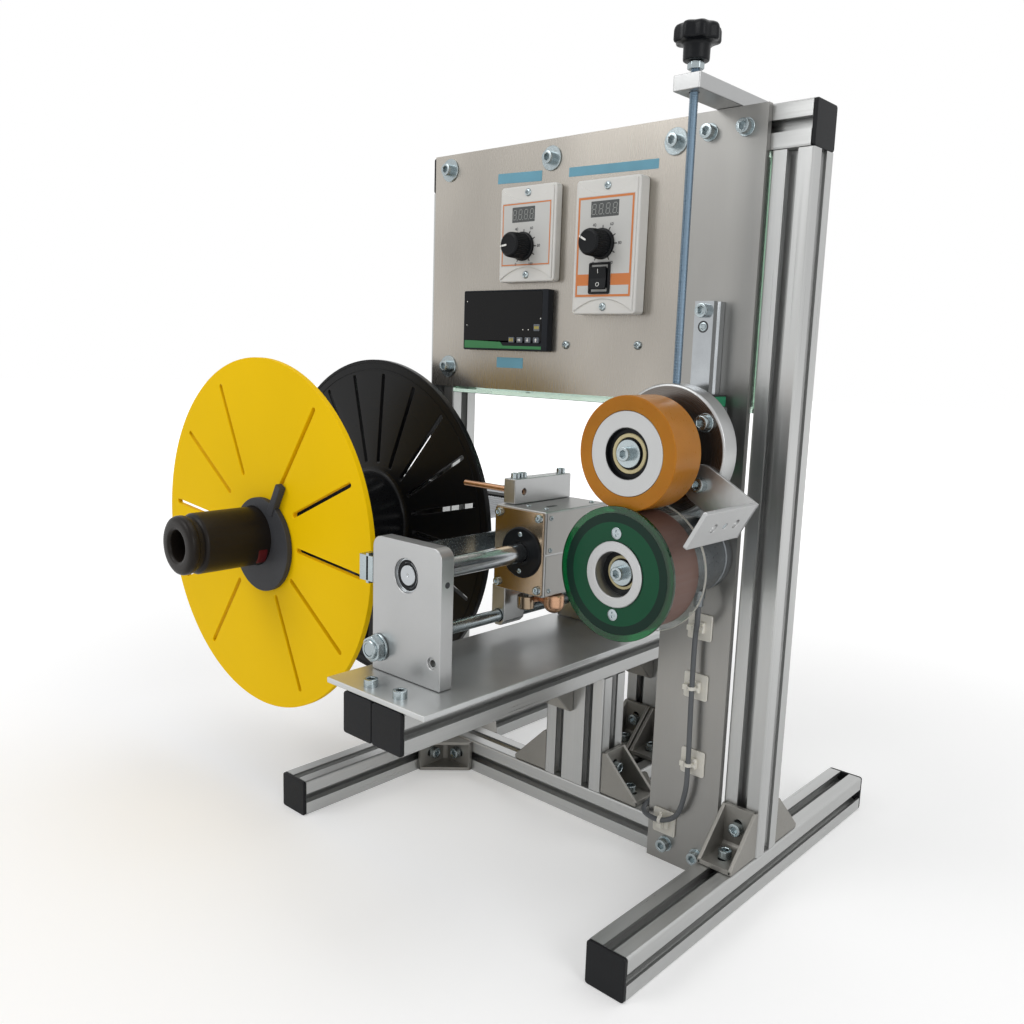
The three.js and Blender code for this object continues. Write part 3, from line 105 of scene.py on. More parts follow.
def welded(part):
    """Points closer than a ten-thousandth become one, so seams and poles close.
    A quad whose two neighbouring corners met becomes a triangle, and a flattened face goes."""
    keys = np.round(part["v"], 4) + 0.0
    points, back = np.unique(keys, axis=0, return_inverse=True)
    back = back.reshape(-1)
    quads, triangles = back[part["q"]], back[part["t"]]
    met = quads == np.roll(quads, -1, axis=1)
    single = met.sum(axis=1) == 1
    narrowed = quads[single][~met[single]].reshape(-1, 3)
    triangles = np.vstack([triangles, narrowed])
    flat = (triangles == np.roll(triangles, -1, axis=1)).any(axis=1)
    return shell(points, quads[~met.any(axis=1)], triangles[~flat])


def outward(part):
    """Every face with the origin spans a small pyramid, and their signed volumes add up to the
    solid's own: where the sum is negative the faces look inwards, so all are turned over."""
    v = part["v"] - part["v"].mean(axis=0)
    f = np.vstack([part["t"], part["q"][:, [0, 1, 2]], part["q"][:, [0, 2, 3]]])
    volume = np.einsum("ij,ij->", v[f[:, 0]], np.cross(v[f[:, 1]], v[f[:, 2]]))
    if volume < 0:
        part["q"], part["t"] = part["q"][:, ::-1].copy(), part["t"][:, ::-1].copy()
    return part


def surface(points):
    """The quads between neighbouring rows and columns of a grid (rows, columns, 3)."""
    rows, columns = points.shape[:2]
    number = np.arange(rows * columns).reshape(rows, columns)
    quads = np.stack([number[:-1, :-1], number[:-1, 1:], number[1:, 1:], number[1:, :-1]], axis=-1)
    return outward(welded(shell(points, quads)))


def on_axis(u, v, w, axis):
    """Lays a drawing's u and v across an axis and w along it; along y it is seen from the front."""
    order = {"x": (w, u, v), "y": (u, w, v), "z": (u, v, w)}[axis]
    return np.stack(np.broadcast_arrays(*order), axis=-1).astype(float)


def moved(part, x, y, z):
    """The same shell, every point carried by one step."""
    return shell(part["v"] + np.array([x, y, z]), part["q"], part["t"])


def turned(part, axis, degrees, about=(0, 0, 0)):
    """Turns the points round an axis through a point by the right-hand rule."""
    matrix = np.array(Matrix.Rotation(math.radians(degrees), 3, axis.upper()))
    centre = np.asarray(about, float)
    return shell((part["v"] - centre) @ matrix.T + centre, part["q"], part["t"])


LOOKING = {"-y": ("X", 90), "+y": ("X", -90), "+x": ("Y", 90), "-x": ("Y", -90), "+z": ("Z", 0)}


def facing(part, direction, place=(0, 0, 0)):
    """A shell drawn to point up along z is turned to look in a direction, then put in its place."""
    axis, degrees = LOOKING[direction]
    return moved(turned(part, axis, degrees), *place)


# %% [markdown]
# ## Edges that catch light
# No real edge is a knife edge: it is broken, turned or moulded round, and that thin round is what
# shines. Blender's Bevel modifier can add it later. Here it is in the drawing itself: corners of an
# outline become arcs, and a plate's rim goes in by a quarter circle at both ends.

# %% Outlines
def eased(outline, radius, steps=4, closed=False):
    """Each corner becomes an arc that touches both sides. With half the corner's opening h, the arc
    starts radius / tan h from the corner and its centre is radius / sin h along the bisector; the
    arc's points are weighted sums of its two end directions, the weights being sines."""
    p = np.asarray(outline, float)
    wanted = np.broadcast_to(np.asarray(radius, float), len(p)).copy()
    before, after = np.roll(p, 1, 0) - p, np.roll(p, -1, 0) - p
    if not closed:
        wanted[[0, -1]] = 0
        before[0], after[-1] = -after[0], -before[-1]
    longest = 0.49 * np.minimum(np.hypot(*before.T), np.hypot(*after.T))
    before /= np.hypot(*before.T)[:, None]
    after /= np.hypot(*after.T)[:, None]
    half = np.arccos(np.clip((before * after).sum(1), -1, 1)) / 2
    bent = (half < math.pi / 2 - 1e-3) & (wanted > 0)
    half = np.where(bent, half, math.pi / 4)
    reach = np.where(bent, np.minimum(wanted / np.tan(half), longest), 0)
    bisector = before + after
    bisector /= np.maximum(np.hypot(*bisector.T), 1e-9)[:, None]
    centre = p + bisector * (reach * np.tan(half) / np.sin(half))[:, None]
    first, last = p + before * reach[:, None] - centre, p + after * reach[:, None] - centre
    sweep = (math.pi - 2 * half)[:, None]
    share = np.linspace(0, 1, steps + 1)[None]
    weight = [np.sin((1 - share) * sweep) / np.sin(sweep), np.sin(share * sweep) / np.sin(sweep)]
    arcs = centre[:, None] + weight[0][..., None] * first[:, None] + weight[1][..., None] * last[:, None]
    arcs = np.where(bent[:, None, None], arcs, p[:, None])
    points = arcs.reshape(-1, 2)
    step = np.hypot(*(points - np.roll(points, 1, 0)).T) > 1e-5
    step[0] = step[0] or not closed
    return points[step]


def circle(radius, steps=64, centre=(0, 0)):
    """Points at equal angles round a centre."""
    angle = np.linspace(0, 2 * math.pi, steps, endpoint=False)
    return np.stack([centre[0] + radius * np.cos(angle), centre[1] + radius * np.sin(angle)], axis=1)


def box_outline(left, right, bottom, top, radius=0.0, steps=4):
    """A rectangle whose corners are arcs."""
    corners = [(left, bottom), (right, bottom), (right, top), (left, top)]
    return eased(corners, radius, steps, closed=True) if radius else np.array(corners, float)


def slot(centre, length, width, degrees=0, steps=6):
    """Two half circles joined by straight sides, turned by an angle."""
    half = math.radians(90)
    angle = np.concatenate([np.linspace(-half, half, steps + 1), np.linspace(half, 3 * half, steps + 1)])
    shift = np.repeat([(length - width) / 2, -(length - width) / 2], steps + 1)
    x, y = shift + width / 2 * np.cos(angle), width / 2 * np.sin(angle)
    c, s = math.cos(math.radians(degrees)), math.sin(math.radians(degrees))
    return np.stack([centre[0] + c * x - s * y, centre[1] + s * x + c * y], axis=1)


# %% [markdown]
# ## Two ways to make a solid
# Nearly everything on this machine was turned on a lathe or cut from plate or bar. So there are two
# makers: one turns a section round an axis, the other draws an outline out, with holes in it. The
# flat ends are filled with triangles, because an outline with holes has no natural grid.

# %% Turning and drawing out
def lathe(section, centre=(0, 0, 0), axis="y", steps=96):
    """A section of (radius, place along the axis) goes round: across = radius cos t, radius sin t."""
    section = np.asarray(section, float)
    angle = np.linspace(0, 2 * math.pi, steps + 1)[None]
    radius, along = section[:, :1], section[:, 1:]
    grid = on_axis(radius * np.cos(angle), radius * np.sin(angle), along + 0 * angle, axis)
    return surface(grid + np.asarray(centre, float))


def sleeve(inner, outer, start, end, centre=(0, 0, 0), axis="y", steps=96):
    """A turned ring with four straight sides, or a plain rod where the inner radius is 0."""
    section = [(inner, start), (outer, start), (outer, end), (inner, end), (inner, start)]
    return lathe(section, centre, axis, steps)


def mitre(loop):
    """How far each corner moves when every side of a loop goes in by one: the two side normals
    added, over one plus their product."""
    side = np.roll(loop, -1, 0) - loop
    side /= np.hypot(*side.T)[:, None]
    normal = np.stack([-side[:, 1], side[:, 0]], axis=1)
    before = np.roll(normal, 1, 0)
    return (normal + before) / np.maximum(1 + (normal * before).sum(1), 0.2)[:, None]


def one_way(loop, sign):
    """Runs a loop anticlockwise (sign 1) or clockwise (sign -1), by its signed area."""
    x, y = loop.T
    area = (x * np.roll(y, -1) - np.roll(x, -1) * y).sum()
    return loop if area * sign > 0 else loop[::-1]


def drawn(loops, start, end, axis="y", edge=0.3, steps=2):
    """The first loop is the outline and the others are holes. Each loop is repeated along the axis,
    moved in by edge (1 - sin t) at a depth of edge (1 - cos t), and both ends are filled."""
    loops = [one_way(np.asarray(loop, float), 1 if index == 0 else -1) for index, loop in enumerate(loops)]
    quarter = np.linspace(0, math.pi / 2, steps + 1) if edge else np.array([math.pi / 2])
    inset, deep = edge * (1 - np.sin(quarter)), edge * (1 - np.cos(quarter))
    inset = np.concatenate([inset, inset[::-1]])
    along = np.concatenate([start + deep, (end - deep)[::-1]])
    parts, rims = [], []
    for loop in loops:
        rings = loop[None] + inset[:, None, None] * mitre(loop)[None]
        rims.append(rings[0])
        rings = np.concatenate([rings, rings[:, :1]], axis=1)
        rows, columns = rings.shape[:2]
        number = np.arange(rows * columns).reshape(rows, columns)
        quads = np.stack([number[:-1, :-1], number[:-1, 1:], number[1:, 1:], number[1:, :-1]], axis=-1)
        parts.append(shell(on_axis(rings[..., 0], rings[..., 1], along[:, None], axis), quads))
    flat = np.vstack(rims)
    faces = np.array(tessellate_polygon([[Vector((x, y, 0)) for x, y in rim] for rim in rims]), int)
    a, b, c = (flat[faces[:, k]] for k in range(3))
    area = (b[:, 0] - a[:, 0]) * (c[:, 1] - a[:, 1]) - (b[:, 1] - a[:, 1]) * (c[:, 0] - a[:, 0])
    faces[area < 0] = faces[area < 0][:, ::-1]
    parts.append(shell(on_axis(flat[:, 0], flat[:, 1], start, axis), triangles=faces[:, ::-1]))
    parts.append(shell(on_axis(flat[:, 0], flat[:, 1], end, axis), triangles=faces))
    return outward(welded(merged(parts)))


def bar(x, y, z, edge=0.4, axis="y", radius=0.0, steps=2):
    """A block between two corners, its outline drawn out along one axis."""
    sides = {"x": (y, z, x), "y": (x, z, y), "z": (x, y, z)}[axis]
    outline = box_outline(*sides[0], *sides[1], radius)
    return drawn([outline], *sides[2], axis=axis, edge=edge, steps=steps)


# %% [markdown]
# ## From a shell to a piece
# A piece is a mesh object at the origin, with its place in its points, that rides on one of the
# machine's bodies. Faces are shaded smooth, and edges sharper than a set angle are kept crisp, which
# is what Blender's Shade Auto Smooth does as well. A Weighted Normal modifier then leans each point's
# normal towards its largest face, so that a broad face stays flat beside its small round edge.

# %% Making a piece
made = []


def piece(name, parts, look, body, stands_for=(), crisp=38):
    """Joins the shells, scales them to metres in the frame's place, and gives the finish."""
    whole = merged(parts) if isinstance(parts, list) else parts
    mesh = bpy.data.meshes.new(name)
    points = (whole["v"] + DRAWING_TO_FRAME) * MM
    mesh.from_pydata(points.tolist(), [], whole["q"].tolist() + whole["t"].tolist())
    mesh.polygons.foreach_set("use_smooth", np.ones(len(mesh.polygons), bool))
    mesh.set_sharp_from_angle(angle=math.radians(crisp))
    mesh.materials.append(look)
    mesh.update()
    item = bpy.data.objects.new(name, mesh)
    scene.collection.objects.link(item)
    item.modifiers.new("broad faces stay flat", "WEIGHTED_NORMAL").keep_sharp = True
    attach(item, body)
    if stands_for:
        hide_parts(*stands_for)
    made.append((name, len(mesh.polygons)))
    return item


# %% [markdown]
# ## Finishes, from a few noises
# Metal, plastic and rubber all vary a little: in tone, in gloss and in height. A photograph wrapped
# round the piece would show that, and so would a painted texture, but noises that read the piece's
# own coordinates need no picture and no unwrapping. Stretching a noise along one axis turns it into
# the drawing marks of a profile or the brushing of a plate; feeding it the distance from an axis
# turns it into the rings that a lathe leaves.

# %% Finish makers
def linear(code):
    """A colour code as the eye sees it, turned to linear light: ((c + 0.055) / 1.055) ** 2.4."""
    value = np.array([int(code[k:k + 2], 16) for k in (0, 2, 4)]) / 255
    return np.where(value <= 0.04045, value / 12.92, ((value + 0.055) / 1.055) ** 2.4)


def new_node(tree, kind, **values):
    """Adds a node; a value named in_0 goes to socket 0, and the rest are the node's own settings.
    A socket's value may be a number, a colour or another node's output."""
    node = tree.nodes.new(kind)
    for key, value in values.items():
        if not key.startswith("in_"):
            setattr(node, key, value)
    for key, value in values.items():
        if key.startswith("in_"):
            socket = node.inputs[int(key[3:])]
            if isinstance(value, bpy.types.NodeSocket):
                tree.links.new(value, socket)
            else:
                socket.default_value = value
    return node


def noise(tree, coordinates, stretch, detail, shift=(0, 0, 0)):
    """A noise whose cells are 1 / stretch metres, along each axis or along all."""
    stretch = np.broadcast_to(stretch, 3).tolist()
    scaled = new_node(tree, "ShaderNodeMapping", in_0=coordinates, in_1=shift, in_3=stretch)
    cells = new_node(tree, "ShaderNodeTexNoise", in_0=scaled.outputs[0], in_2=1.0, in_3=detail)
    return cells.outputs[0]


def finish(name, code, roughness, metallic=0.0, fine=600, fine_depth=0.04, broad=25,
           broad_depth=0.06, gloss=0.08, bump=0.02, round_axis=None, extra=None):
    """Colour = base x (1 + broad noise + fine noise). The fine noise also swings the roughness and
    lifts the surface. With round_axis it reads the distance from that axis."""
    material = bpy.data.materials.new(name)
    material.use_nodes = True
    tree = material.node_tree
    shader = tree.nodes["Principled BSDF"]
    place = new_node(tree, "ShaderNodeTexCoord").outputs["Object"]
    patches = noise(tree, place, broad, 3.0)
    if round_axis is None:
        grain = noise(tree, place, fine, 4.0, (0.37, 0.11, 0.73))
    else:
        centre = (np.array([round_axis[0], 0, round_axis[1]]) + DRAWING_TO_FRAME * [1, 0, 1]) * MM
        local = new_node(tree, "ShaderNodeVectorMath", operation="SUBTRACT", in_0=place, in_1=centre.tolist())
        flat = new_node(tree, "ShaderNodeVectorMath", operation="MULTIPLY", in_0=local.outputs[0],
                        in_1=(1, 0, 1))
        distance = new_node(tree, "ShaderNodeVectorMath", operation="LENGTH", in_0=flat.outputs[0])
        rings = new_node(tree, "ShaderNodeCombineXYZ", in_0=distance.outputs["Value"])
        grain = noise(tree, rings.outputs[0], fine, 4.0)
    tone = new_node(tree, "ShaderNodeMapRange", in_0=patches, in_1=0.25, in_2=0.75,
                    in_3=1 - broad_depth, in_4=1 + broad_depth)
    tick = new_node(tree, "ShaderNodeMapRange", in_0=grain, in_1=0.25, in_2=0.75,
                    in_3=-fine_depth, in_4=fine_depth)
    total = new_node(tree, "ShaderNodeMath", operation="ADD", in_0=tone.outputs[0], in_1=tick.outputs[0])
    colour = new_node(tree, "ShaderNodeVectorMath", operation="SCALE", in_0=linear(code).tolist())
    tree.links.new(total.outputs[0], colour.inputs["Scale"])
    tree.links.new(colour.outputs[0], shader.inputs["Base Color"])
    swing = new_node(tree, "ShaderNodeMapRange", in_0=grain, in_1=0.25, in_2=0.75,
                     in_3=max(0.02, roughness - gloss), in_4=min(1.0, roughness + gloss))
    tree.links.new(swing.outputs[0], shader.inputs["Roughness"])
    relief = new_node(tree, "ShaderNodeBump", in_0=bump, in_1=0.001)
    tree.links.new(grain, relief.inputs["Height"])
    tree.links.new(relief.outputs[0], shader.inputs["Normal"])
    shader.inputs["Metallic"].default_value = metallic
    for socket, value in (extra or {}).items():
        shader.inputs[socket].default_value = value
    return material


# %% [markdown]
# ## The machine's finishes
# Drawn and anodised profile has marks along its length, so each direction has its own. Sheet and
# plate are brushed, turned faces have rings, and zinc on screws is bluish. One base colour for all
# metal would do, but side by side the real ones differ in tone and gloss.

# %% Metals
MARKS = {"x": [(9, 900, 900), (4, 60, 60)], "y": [(900, 9, 900), (60, 4, 60)],
         "z": [(900, 900, 9), (60, 60, 4)]}
profile_along = {
    axis: finish(f"profile along {axis}", "b4b5b4", 0.34, 0.92, fine=fine, broad=broad, bump=0.05)
    for axis, (fine, broad) in MARKS.items()
}
cast_bracket = finish("cast bracket", "8f8d88", 0.5, 0.85, fine=700, bump=0.12)
panel_sheet = finish("brushed panel sheet", "aaa59d", 0.27, 0.92, fine=(1500, 1500, 40), fine_depth=0.003,
                     broad=(7, 7, 4), broad_depth=0.2, gloss=0.008, bump=0.0)
plate_sheet = finish("brushed guide plate", "959491", 0.32, 0.9, fine=(1500, 1500, 30), fine_depth=0.012,
                     broad=(16, 16, 5), broad_depth=0.09, gloss=0.02, bump=0.003)
milled = finish("milled aluminium", "aeafaf", 0.33, 0.9, fine=(300, 1600, 300), fine_depth=0.015,
                broad=18, broad_depth=0.05, gloss=0.04, bump=0.012)
base_metal = finish("base plate aluminium", "c4c6c6", 0.33, 0.7, fine=(1500, 40, 1500), fine_depth=0.01,
                    broad=10, broad_depth=0.2, gloss=0.02, bump=0.002)
zinc = finish("zinc plate", "a3adb0", 0.24, 0.95, fine=800, broad=90, bump=0.02)
bright_steel = finish("ground steel", "aeb2b5", 0.16, 0.97, fine=(60, 900, 60), broad=(30, 5, 30), bump=0.02)
dark_steel = finish("dark carriage steel", "6f7376", 0.32, 0.95, fine=700, bump=0.03)
screw_rod = finish("blue zinc thread", "75899a", 0.34, 0.85, fine=(900, 900, 400), broad=(40, 40, 12),
                   bump=0.03)
bronze_cover = finish("lacquered cover plate", "a08e78", 0.2, 0.94, fine=(1500, 1500, 60), fine_depth=0.01,
                      broad=(20, 20, 14), broad_depth=0.2, gloss=0.03, bump=0.004)
copper = finish("copper", "c39a7c", 0.3, 0.95, fine=(14, 700, 700), broad=40, bump=0.03)
disc_metal = finish("turned disc", "6f6a66", 0.26, 0.95, fine=(2600, 1, 1), fine_depth=0.05,
                    round_axis=(118.5, 329.7), broad=14, broad_depth=0.16, gloss=0.04,
                    bump=0.02)
press_ring = finish("turned press hub", "b4b5b5", 0.34, 0.92, fine=(2600, 1, 1), fine_depth=0.06,
                    round_axis=(118.5, 329.7), broad_depth=0.04, bump=0.04)
meter_ring = finish("turned meter hub", "b4b5b5", 0.3, 0.92, fine=(2600, 1, 1), fine_depth=0.06,
                    round_axis=(118.5, 251), broad_depth=0.04, bump=0.04)
print("materials with the frame's own", len(bpy.data.materials))

# %% [markdown]
# Plastics are nearly even in tone, with a fine moulded skin. Under a white sky a full gloss would
# wash the dark ones out to grey, so most of them get only a part of the usual reflection.

# %% Plastics
DULL = {"Specular IOR Level": 0.16}
black_cap = finish("black moulded cap", "1b1c1e", 0.5, fine=1200, bump=0.06, extra=DULL)
black_knob = finish("black knob", "0f1114", 0.36, fine=1500, bump=0.03, extra=DULL)
black_spool = finish("black spool plastic", "101113", 0.3, fine=(2400, 1, 1), fine_depth=0.08,
                     broad=12, broad_depth=0.12, gloss=0.04, bump=0.02, round_axis=(-220, 231),
                     extra=DULL)
black_side = finish("black plastic side", "101113", 0.3, fine=900, bump=0.03, extra=DULL)
yellow_spool = finish("yellow spool plastic", "f5c800", 0.55, fine=900, fine_depth=0.01,
                      broad=10, broad_depth=0.03, gloss=0.04, bump=0.02,
                      extra={"Specular IOR Level": 0.08})
nose_plastic = finish("dark nose", "1c1815", 0.36, fine=900, broad=30, broad_depth=0.15,
                      bump=0.04, extra=DULL)
ring_plastic = finish("grey clamp ring", "3c3d40", 0.5, fine=900, bump=0.05, extra=DULL)
red_plastic = finish("dark red key", "52161a", 0.45, extra=DULL)
ivory = finish("ivory bezel", "dbdad6", 0.42, fine=1200, fine_depth=0.015, broad_depth=0.02)
label_grey = finish("label grey", "cacac7", 0.5, fine=1200, fine_depth=0.015, broad_depth=0.02)
label_orange = finish("label orange", "cf7a3d", 0.5, fine_depth=0.02, broad_depth=0.03)
# Print on the dials, and also painted shade: the thin black marks for holes and a slot use it.
print_and_hole_shade_black = finish("printed black and painted hole shade", "26282a", 0.55, fine_depth=0.02, broad_depth=0.02)
display_grey = finish("display window", "4c4f4f", 0.18, fine_depth=0.02, broad_depth=0.04)
segment_grey = finish("display segment", "8d908d", 0.3, fine_depth=0.02, broad_depth=0.04)
strip_blue = finish("blue strip", "679fb4", 0.55, fine=900, fine_depth=0.04, broad=60)
meter_black = finish("meter case", "171b21", 0.34, fine=1500, bump=0.03, extra=DULL)
meter_window = finish("meter window", "121213", 0.14, fine_depth=0.02, broad=40,
                      broad_depth=0.1, bump=0.0, extra=DULL)
meter_green = finish("meter green", "2c7a45", 0.4, fine_depth=0.03)
key_grey = finish("meter key", "5b6068", 0.45, fine_depth=0.03)
mark_white = finish("white mark", "e8e8e4", 0.5, fine_depth=0.01, broad_depth=0.01)
mark_yellow = finish("yellow mark", "b9a83c", 0.5, fine_depth=0.02)
print("materials so far", len(bpy.data.materials))

# %% [markdown]
# The amber tyre and the nylon ties let a little light under their skin, which a subsurface share
# gives. The clear sheets let it through: they are real solids with two faces, so their transmission
# bends the light as the real sheet does. A transparent mix would be quicker, but has no thickness.

# %% Tyres, small parts and clear sheet
amber = finish("amber tyre", "ad701f", 0.3, fine=(300, 900, 300), fine_depth=0.01, broad=26,
               broad_depth=0.16, gloss=0.04, bump=0.002,
               extra={"Subsurface Weight": 0.25, "Subsurface Radius": (0.008, 0.004, 0.0015),
                      "Subsurface Scale": 1.0, "Specular IOR Level": 0.16})
brown_tyre = finish("brown tyre", "62483f", 0.55, fine=(400, 14, 400), fine_depth=0.05, bump=0.04)
rubber = finish("black rubber", "1b1b1c", 0.75, fine=900, bump=0.1)
cable_sheath = finish("cable sheath", "56595c", 0.5, fine=900, bump=0.06)
cream_seal = finish("cream bearing seal", "c9bd92", 0.4, fine_depth=0.03)
tie_nylon = finish("white nylon", "dcd9cf", 0.42, fine_depth=0.02,
                   extra={"Subsurface Weight": 0.15, "Subsurface Radius": (0.004, 0.004, 0.003),
                          "Subsurface Scale": 1.0})
motor_case = finish("ribbed motor case", "aeb0b2", 0.4, 0.85, fine=(900, 90, 900), fine_depth=0.02, bump=0.02)
motor_black = finish("motor plate", "1d1f21", 0.42, fine=1200, bump=0.05, extra=DULL)
green_seal = finish("green end cap", "0f7d55", 0.4, fine_depth=0.03)
green_sheet = finish("green clear sheet", "0b8446", 0.06, fine_depth=0.01, broad_depth=0.02, gloss=0.02,
                     bump=0.0, extra={"Transmission Weight": 0.9, "IOR": 1.49,
                                      "Specular IOR Level": 0.12})
# Painted shade: the two dark tones that the look through the green plate gives over the hub and the tyre.
painted_shade_green_over_hub = finish("painted shade green over the hub", "0d4a30", 0.2, fine_depth=0.02, bump=0.0, extra=DULL)
painted_shade_green_over_tyre = finish("painted shade green over the dark tyre", "0b2a20", 0.2, fine_depth=0.02, bump=0.0, extra=DULL)
clear_sheet = finish("clear sheet", "f2f7f5", 0.05, fine_depth=0.01, broad_depth=0.01, gloss=0.02, bump=0.0,
                     extra={"Transmission Weight": 0.96, "IOR": 1.49})
cover_sheet = finish("pale green clear sheet", "d3eadb", 0.06, fine_depth=0.01, broad_depth=0.02, gloss=0.02,
                     bump=0.0, extra={"Transmission Weight": 0.9, "IOR": 1.49})
cover_edge = finish("sheet's deep green edge", "2d5f4b", 0.3, fine_depth=0.03, broad_depth=0.08)
print("all materials", len(bpy.data.materials))

# %% [markdown]
# ## Floor, sky and lamps
# A plain studio: a pale floor that keeps the shadow, three large soft lamps, and a white world. The
# floor is a wide disc that also shines by itself, the more the farther out, but only where the
# camera, a reflection or a look through clear sheet meets it, so that no more light falls on the
# machine. A stronger lamp would whiten the floor too, but would bleach every colour with it.

# %% Floor
def seen_directly(tree):
    """1 for a ray from the camera, off a gloss or through a clear sheet, and 0 for every other."""
    rays = new_node(tree, "ShaderNodeLightPath")
    either = new_node(tree, "ShaderNodeMath", operation="MAXIMUM", in_0=rays.outputs["Is Camera Ray"],
                      in_1=rays.outputs["Is Glossy Ray"])
    any_of_three = new_node(tree, "ShaderNodeMath", operation="MAXIMUM", in_0=either.outputs[0],
                            in_1=rays.outputs["Is Transmission Ray"])
    return any_of_three.outputs[0]


FLOOR_REACH = 9.0
ring = np.linspace(0, FLOOR_REACH, 12)[:, None]
spin = np.linspace(0, 2 * math.pi, 49)[None]
floor_shell = surface(np.stack([ring * np.cos(spin), ring * np.sin(spin), 0 * ring * spin], axis=-1))
floor_mesh = bpy.data.meshes.new("floor")
floor_mesh.from_pydata(floor_shell["v"].tolist(), [], floor_shell["q"].tolist() + floor_shell["t"].tolist())
floor = bpy.data.objects.new("floor", floor_mesh)
scene.collection.objects.link(floor)

floor_look = bpy.data.materials.new("pale floor")
floor_look.use_nodes = True
floor_tree = floor_look.node_tree
floor_tree.nodes.clear()
matt = new_node(floor_tree, "ShaderNodeBsdfDiffuse", in_0=(0.88, 0.88, 0.88, 1))
spot = new_node(floor_tree, "ShaderNodeTexCoord").outputs["Object"]
far = new_node(floor_tree, "ShaderNodeVectorMath", operation="LENGTH", in_0=spot)
rise = new_node(floor_tree, "ShaderNodeMapRange", in_0=far.outputs["Value"], in_1=0.45, in_2=2.4,
                in_3=0.22, in_4=0.85)
lift = new_node(floor_tree, "ShaderNodeMath", operation="MULTIPLY", in_0=seen_directly(floor_tree),
                in_1=rise.outputs[0])
own_light = new_node(floor_tree, "ShaderNodeEmission", in_0=(1, 1, 1, 1), in_1=lift.outputs[0])
both = new_node(floor_tree, "ShaderNodeAddShader", in_0=matt.outputs[0], in_1=own_light.outputs[0])
new_node(floor_tree, "ShaderNodeOutputMaterial", in_0=both.outputs[0])
floor_mesh.materials.append(floor_look)
print("floor faces", len(floor_mesh.polygons))

# %% [markdown]
# The world is white to the same three kinds of ray, but lights the surfaces at half that strength.
# That even light and the three lamps add up to a level at which a colour comes out about as written.

# %% World and lamps
world = bpy.data.worlds.new("studio")
world.use_nodes = True
scene.world = world
sky = world.node_tree
sky.nodes.clear()
strength = new_node(sky, "ShaderNodeMapRange", in_0=seen_directly(sky), in_3=0.5, in_4=1.0)
glow = new_node(sky, "ShaderNodeBackground", in_0=(1, 1, 1, 1), in_1=strength.outputs[0])
new_node(sky, "ShaderNodeOutputWorld", in_0=glow.outputs[0])


def lamp(name, place, target, size, watts):
    """A square soft lamp that looks from its place at a target."""
    data = bpy.data.lights.new(name, "AREA")
    data.size = size
    data.energy = watts
    item = bpy.data.objects.new(name, data)
    look = Vector(target) - Vector(place)
    item.matrix_world = Matrix.Translation(place) @ look.to_track_quat("-Z", "Y").to_matrix().to_4x4()
    scene.collection.objects.link(item)


LAMPS = [("key lamp", (-0.9, -2.0, 1.9), (0, 0, 0.25), 1.4, 20),
         ("side lamp", (2.2, -0.6, 1.2), (0, 0, 0.3), 1.2, 12),
         ("top lamp", (0.2, 0.9, 2.4), (0, 0, 0.2), 1.6, 12)]
for name, place, target, size, watts in LAMPS:
    lamp(name, place, target, size, watts)
print("lamps", len(bpy.data.lights))

# %% [markdown]
# ## A finish for every solid of the CAD
# The solids whose shape is already right only need their finish. The others are hidden later by a
# finer piece that stands for them, but each gets its finish all the same.

# %% Finishes on the solids
NODE_LOOKS = [
    (profile_along["x"], "cross_rail top_rail"),
    (profile_along["y"], "left_foot right_foot middle_foot platform_beam_left platform_beam_right"),
    (profile_along["z"], "left_upright right_upright front_post rear_post"),
    (cast_bracket, "foot_bracket upright_bracket post_bracket_left post_bracket_right"),
    (panel_sheet, "front_panel traverse_housing"),
    (plate_sheet, "guide_plate"),
    (milled, "front_end_block rear_end_block tube_clamp drive_bracket thread_guide_bracket pressure_bar"),
    (base_metal, "base_plate"),
    (press_ring, "press_roller_hub"),
    (meter_ring, "meter_hub"),
    (disc_metal, "press_disc"),
    (bright_steel, "traverse_shaft linear_rail guide_rod"),
    (zinc, "stop_strip"),
    (dark_steel, "press_carriage"),
    (screw_rod, "pressure_screw"),
    (ivory, "speed_unit torque_unit"),
    (black_knob, "speed_knob torque_knob pressure_knob encoder rocker_switch"),
    (meter_black, "length_meter"),
    (key_grey, "meter_key_1 meter_key_2 meter_key_3 meter_key_4"),
    (black_spool, "spool_core"),
    (nose_plastic, "spindle_shaft"),
    (yellow_spool, "spool_front_flange"),
    (ring_plastic, "clamp_ring"),
    (amber, "press_roller_tyre"),
    (brown_tyre, "meter_tyre"),
    (green_sheet, "meter_flange_front"),
    (clear_sheet, "meter_flange_rear"),
    (cover_sheet, "rear_cover"),
    (copper, "guide_tube reversing_lever"),
    (rubber, "drive_belt"),
    (cable_sheath, "encoder_cable"),
    (motor_case, "drive_motor"),
]
finished = []
for look, names in NODE_LOOKS:
    for name in names.split():
        for place in nodes[name].material_slots:
            place.material = look
        finished.append(name)
print("solids finished", len(finished), "left", sorted(set(nodes) - set(finished)))

# %% [markdown]
# ## Screws, nuts and washers
# Dozens of bright screws hold the machine, and their sockets are what tells a screw from a peg. A
# screw is a turned shape whose hole is not round, so its section's radius may depend on the angle:
# a hexagon's is its apothem over the cosine of the angle from the nearest flat, and a cross's is the
# arm's reach or the arm's half width, whichever the direction meets first. One grid gives both.

# %% Fasteners
def polar(rows, steps=36):
    """Rows of (radius, height) go round the z axis; a radius is a number or one value per angle."""
    angle = np.linspace(0, 2 * math.pi, steps + 1)
    radius = np.stack([np.broadcast_to(row[0], angle.shape) for row in rows])
    height = np.array([row[1] for row in rows], float)[:, None]
    return surface(on_axis(radius * np.cos(angle), radius * np.sin(angle), height, "z"))


def hexagon(apothem, steps=36):
    """The apothem over the cosine of the angle from the nearest flat, for each angle."""
    angle = np.linspace(0, 360, steps + 1)
    return apothem / np.cos(np.radians((angle + 30) % 60 - 30))


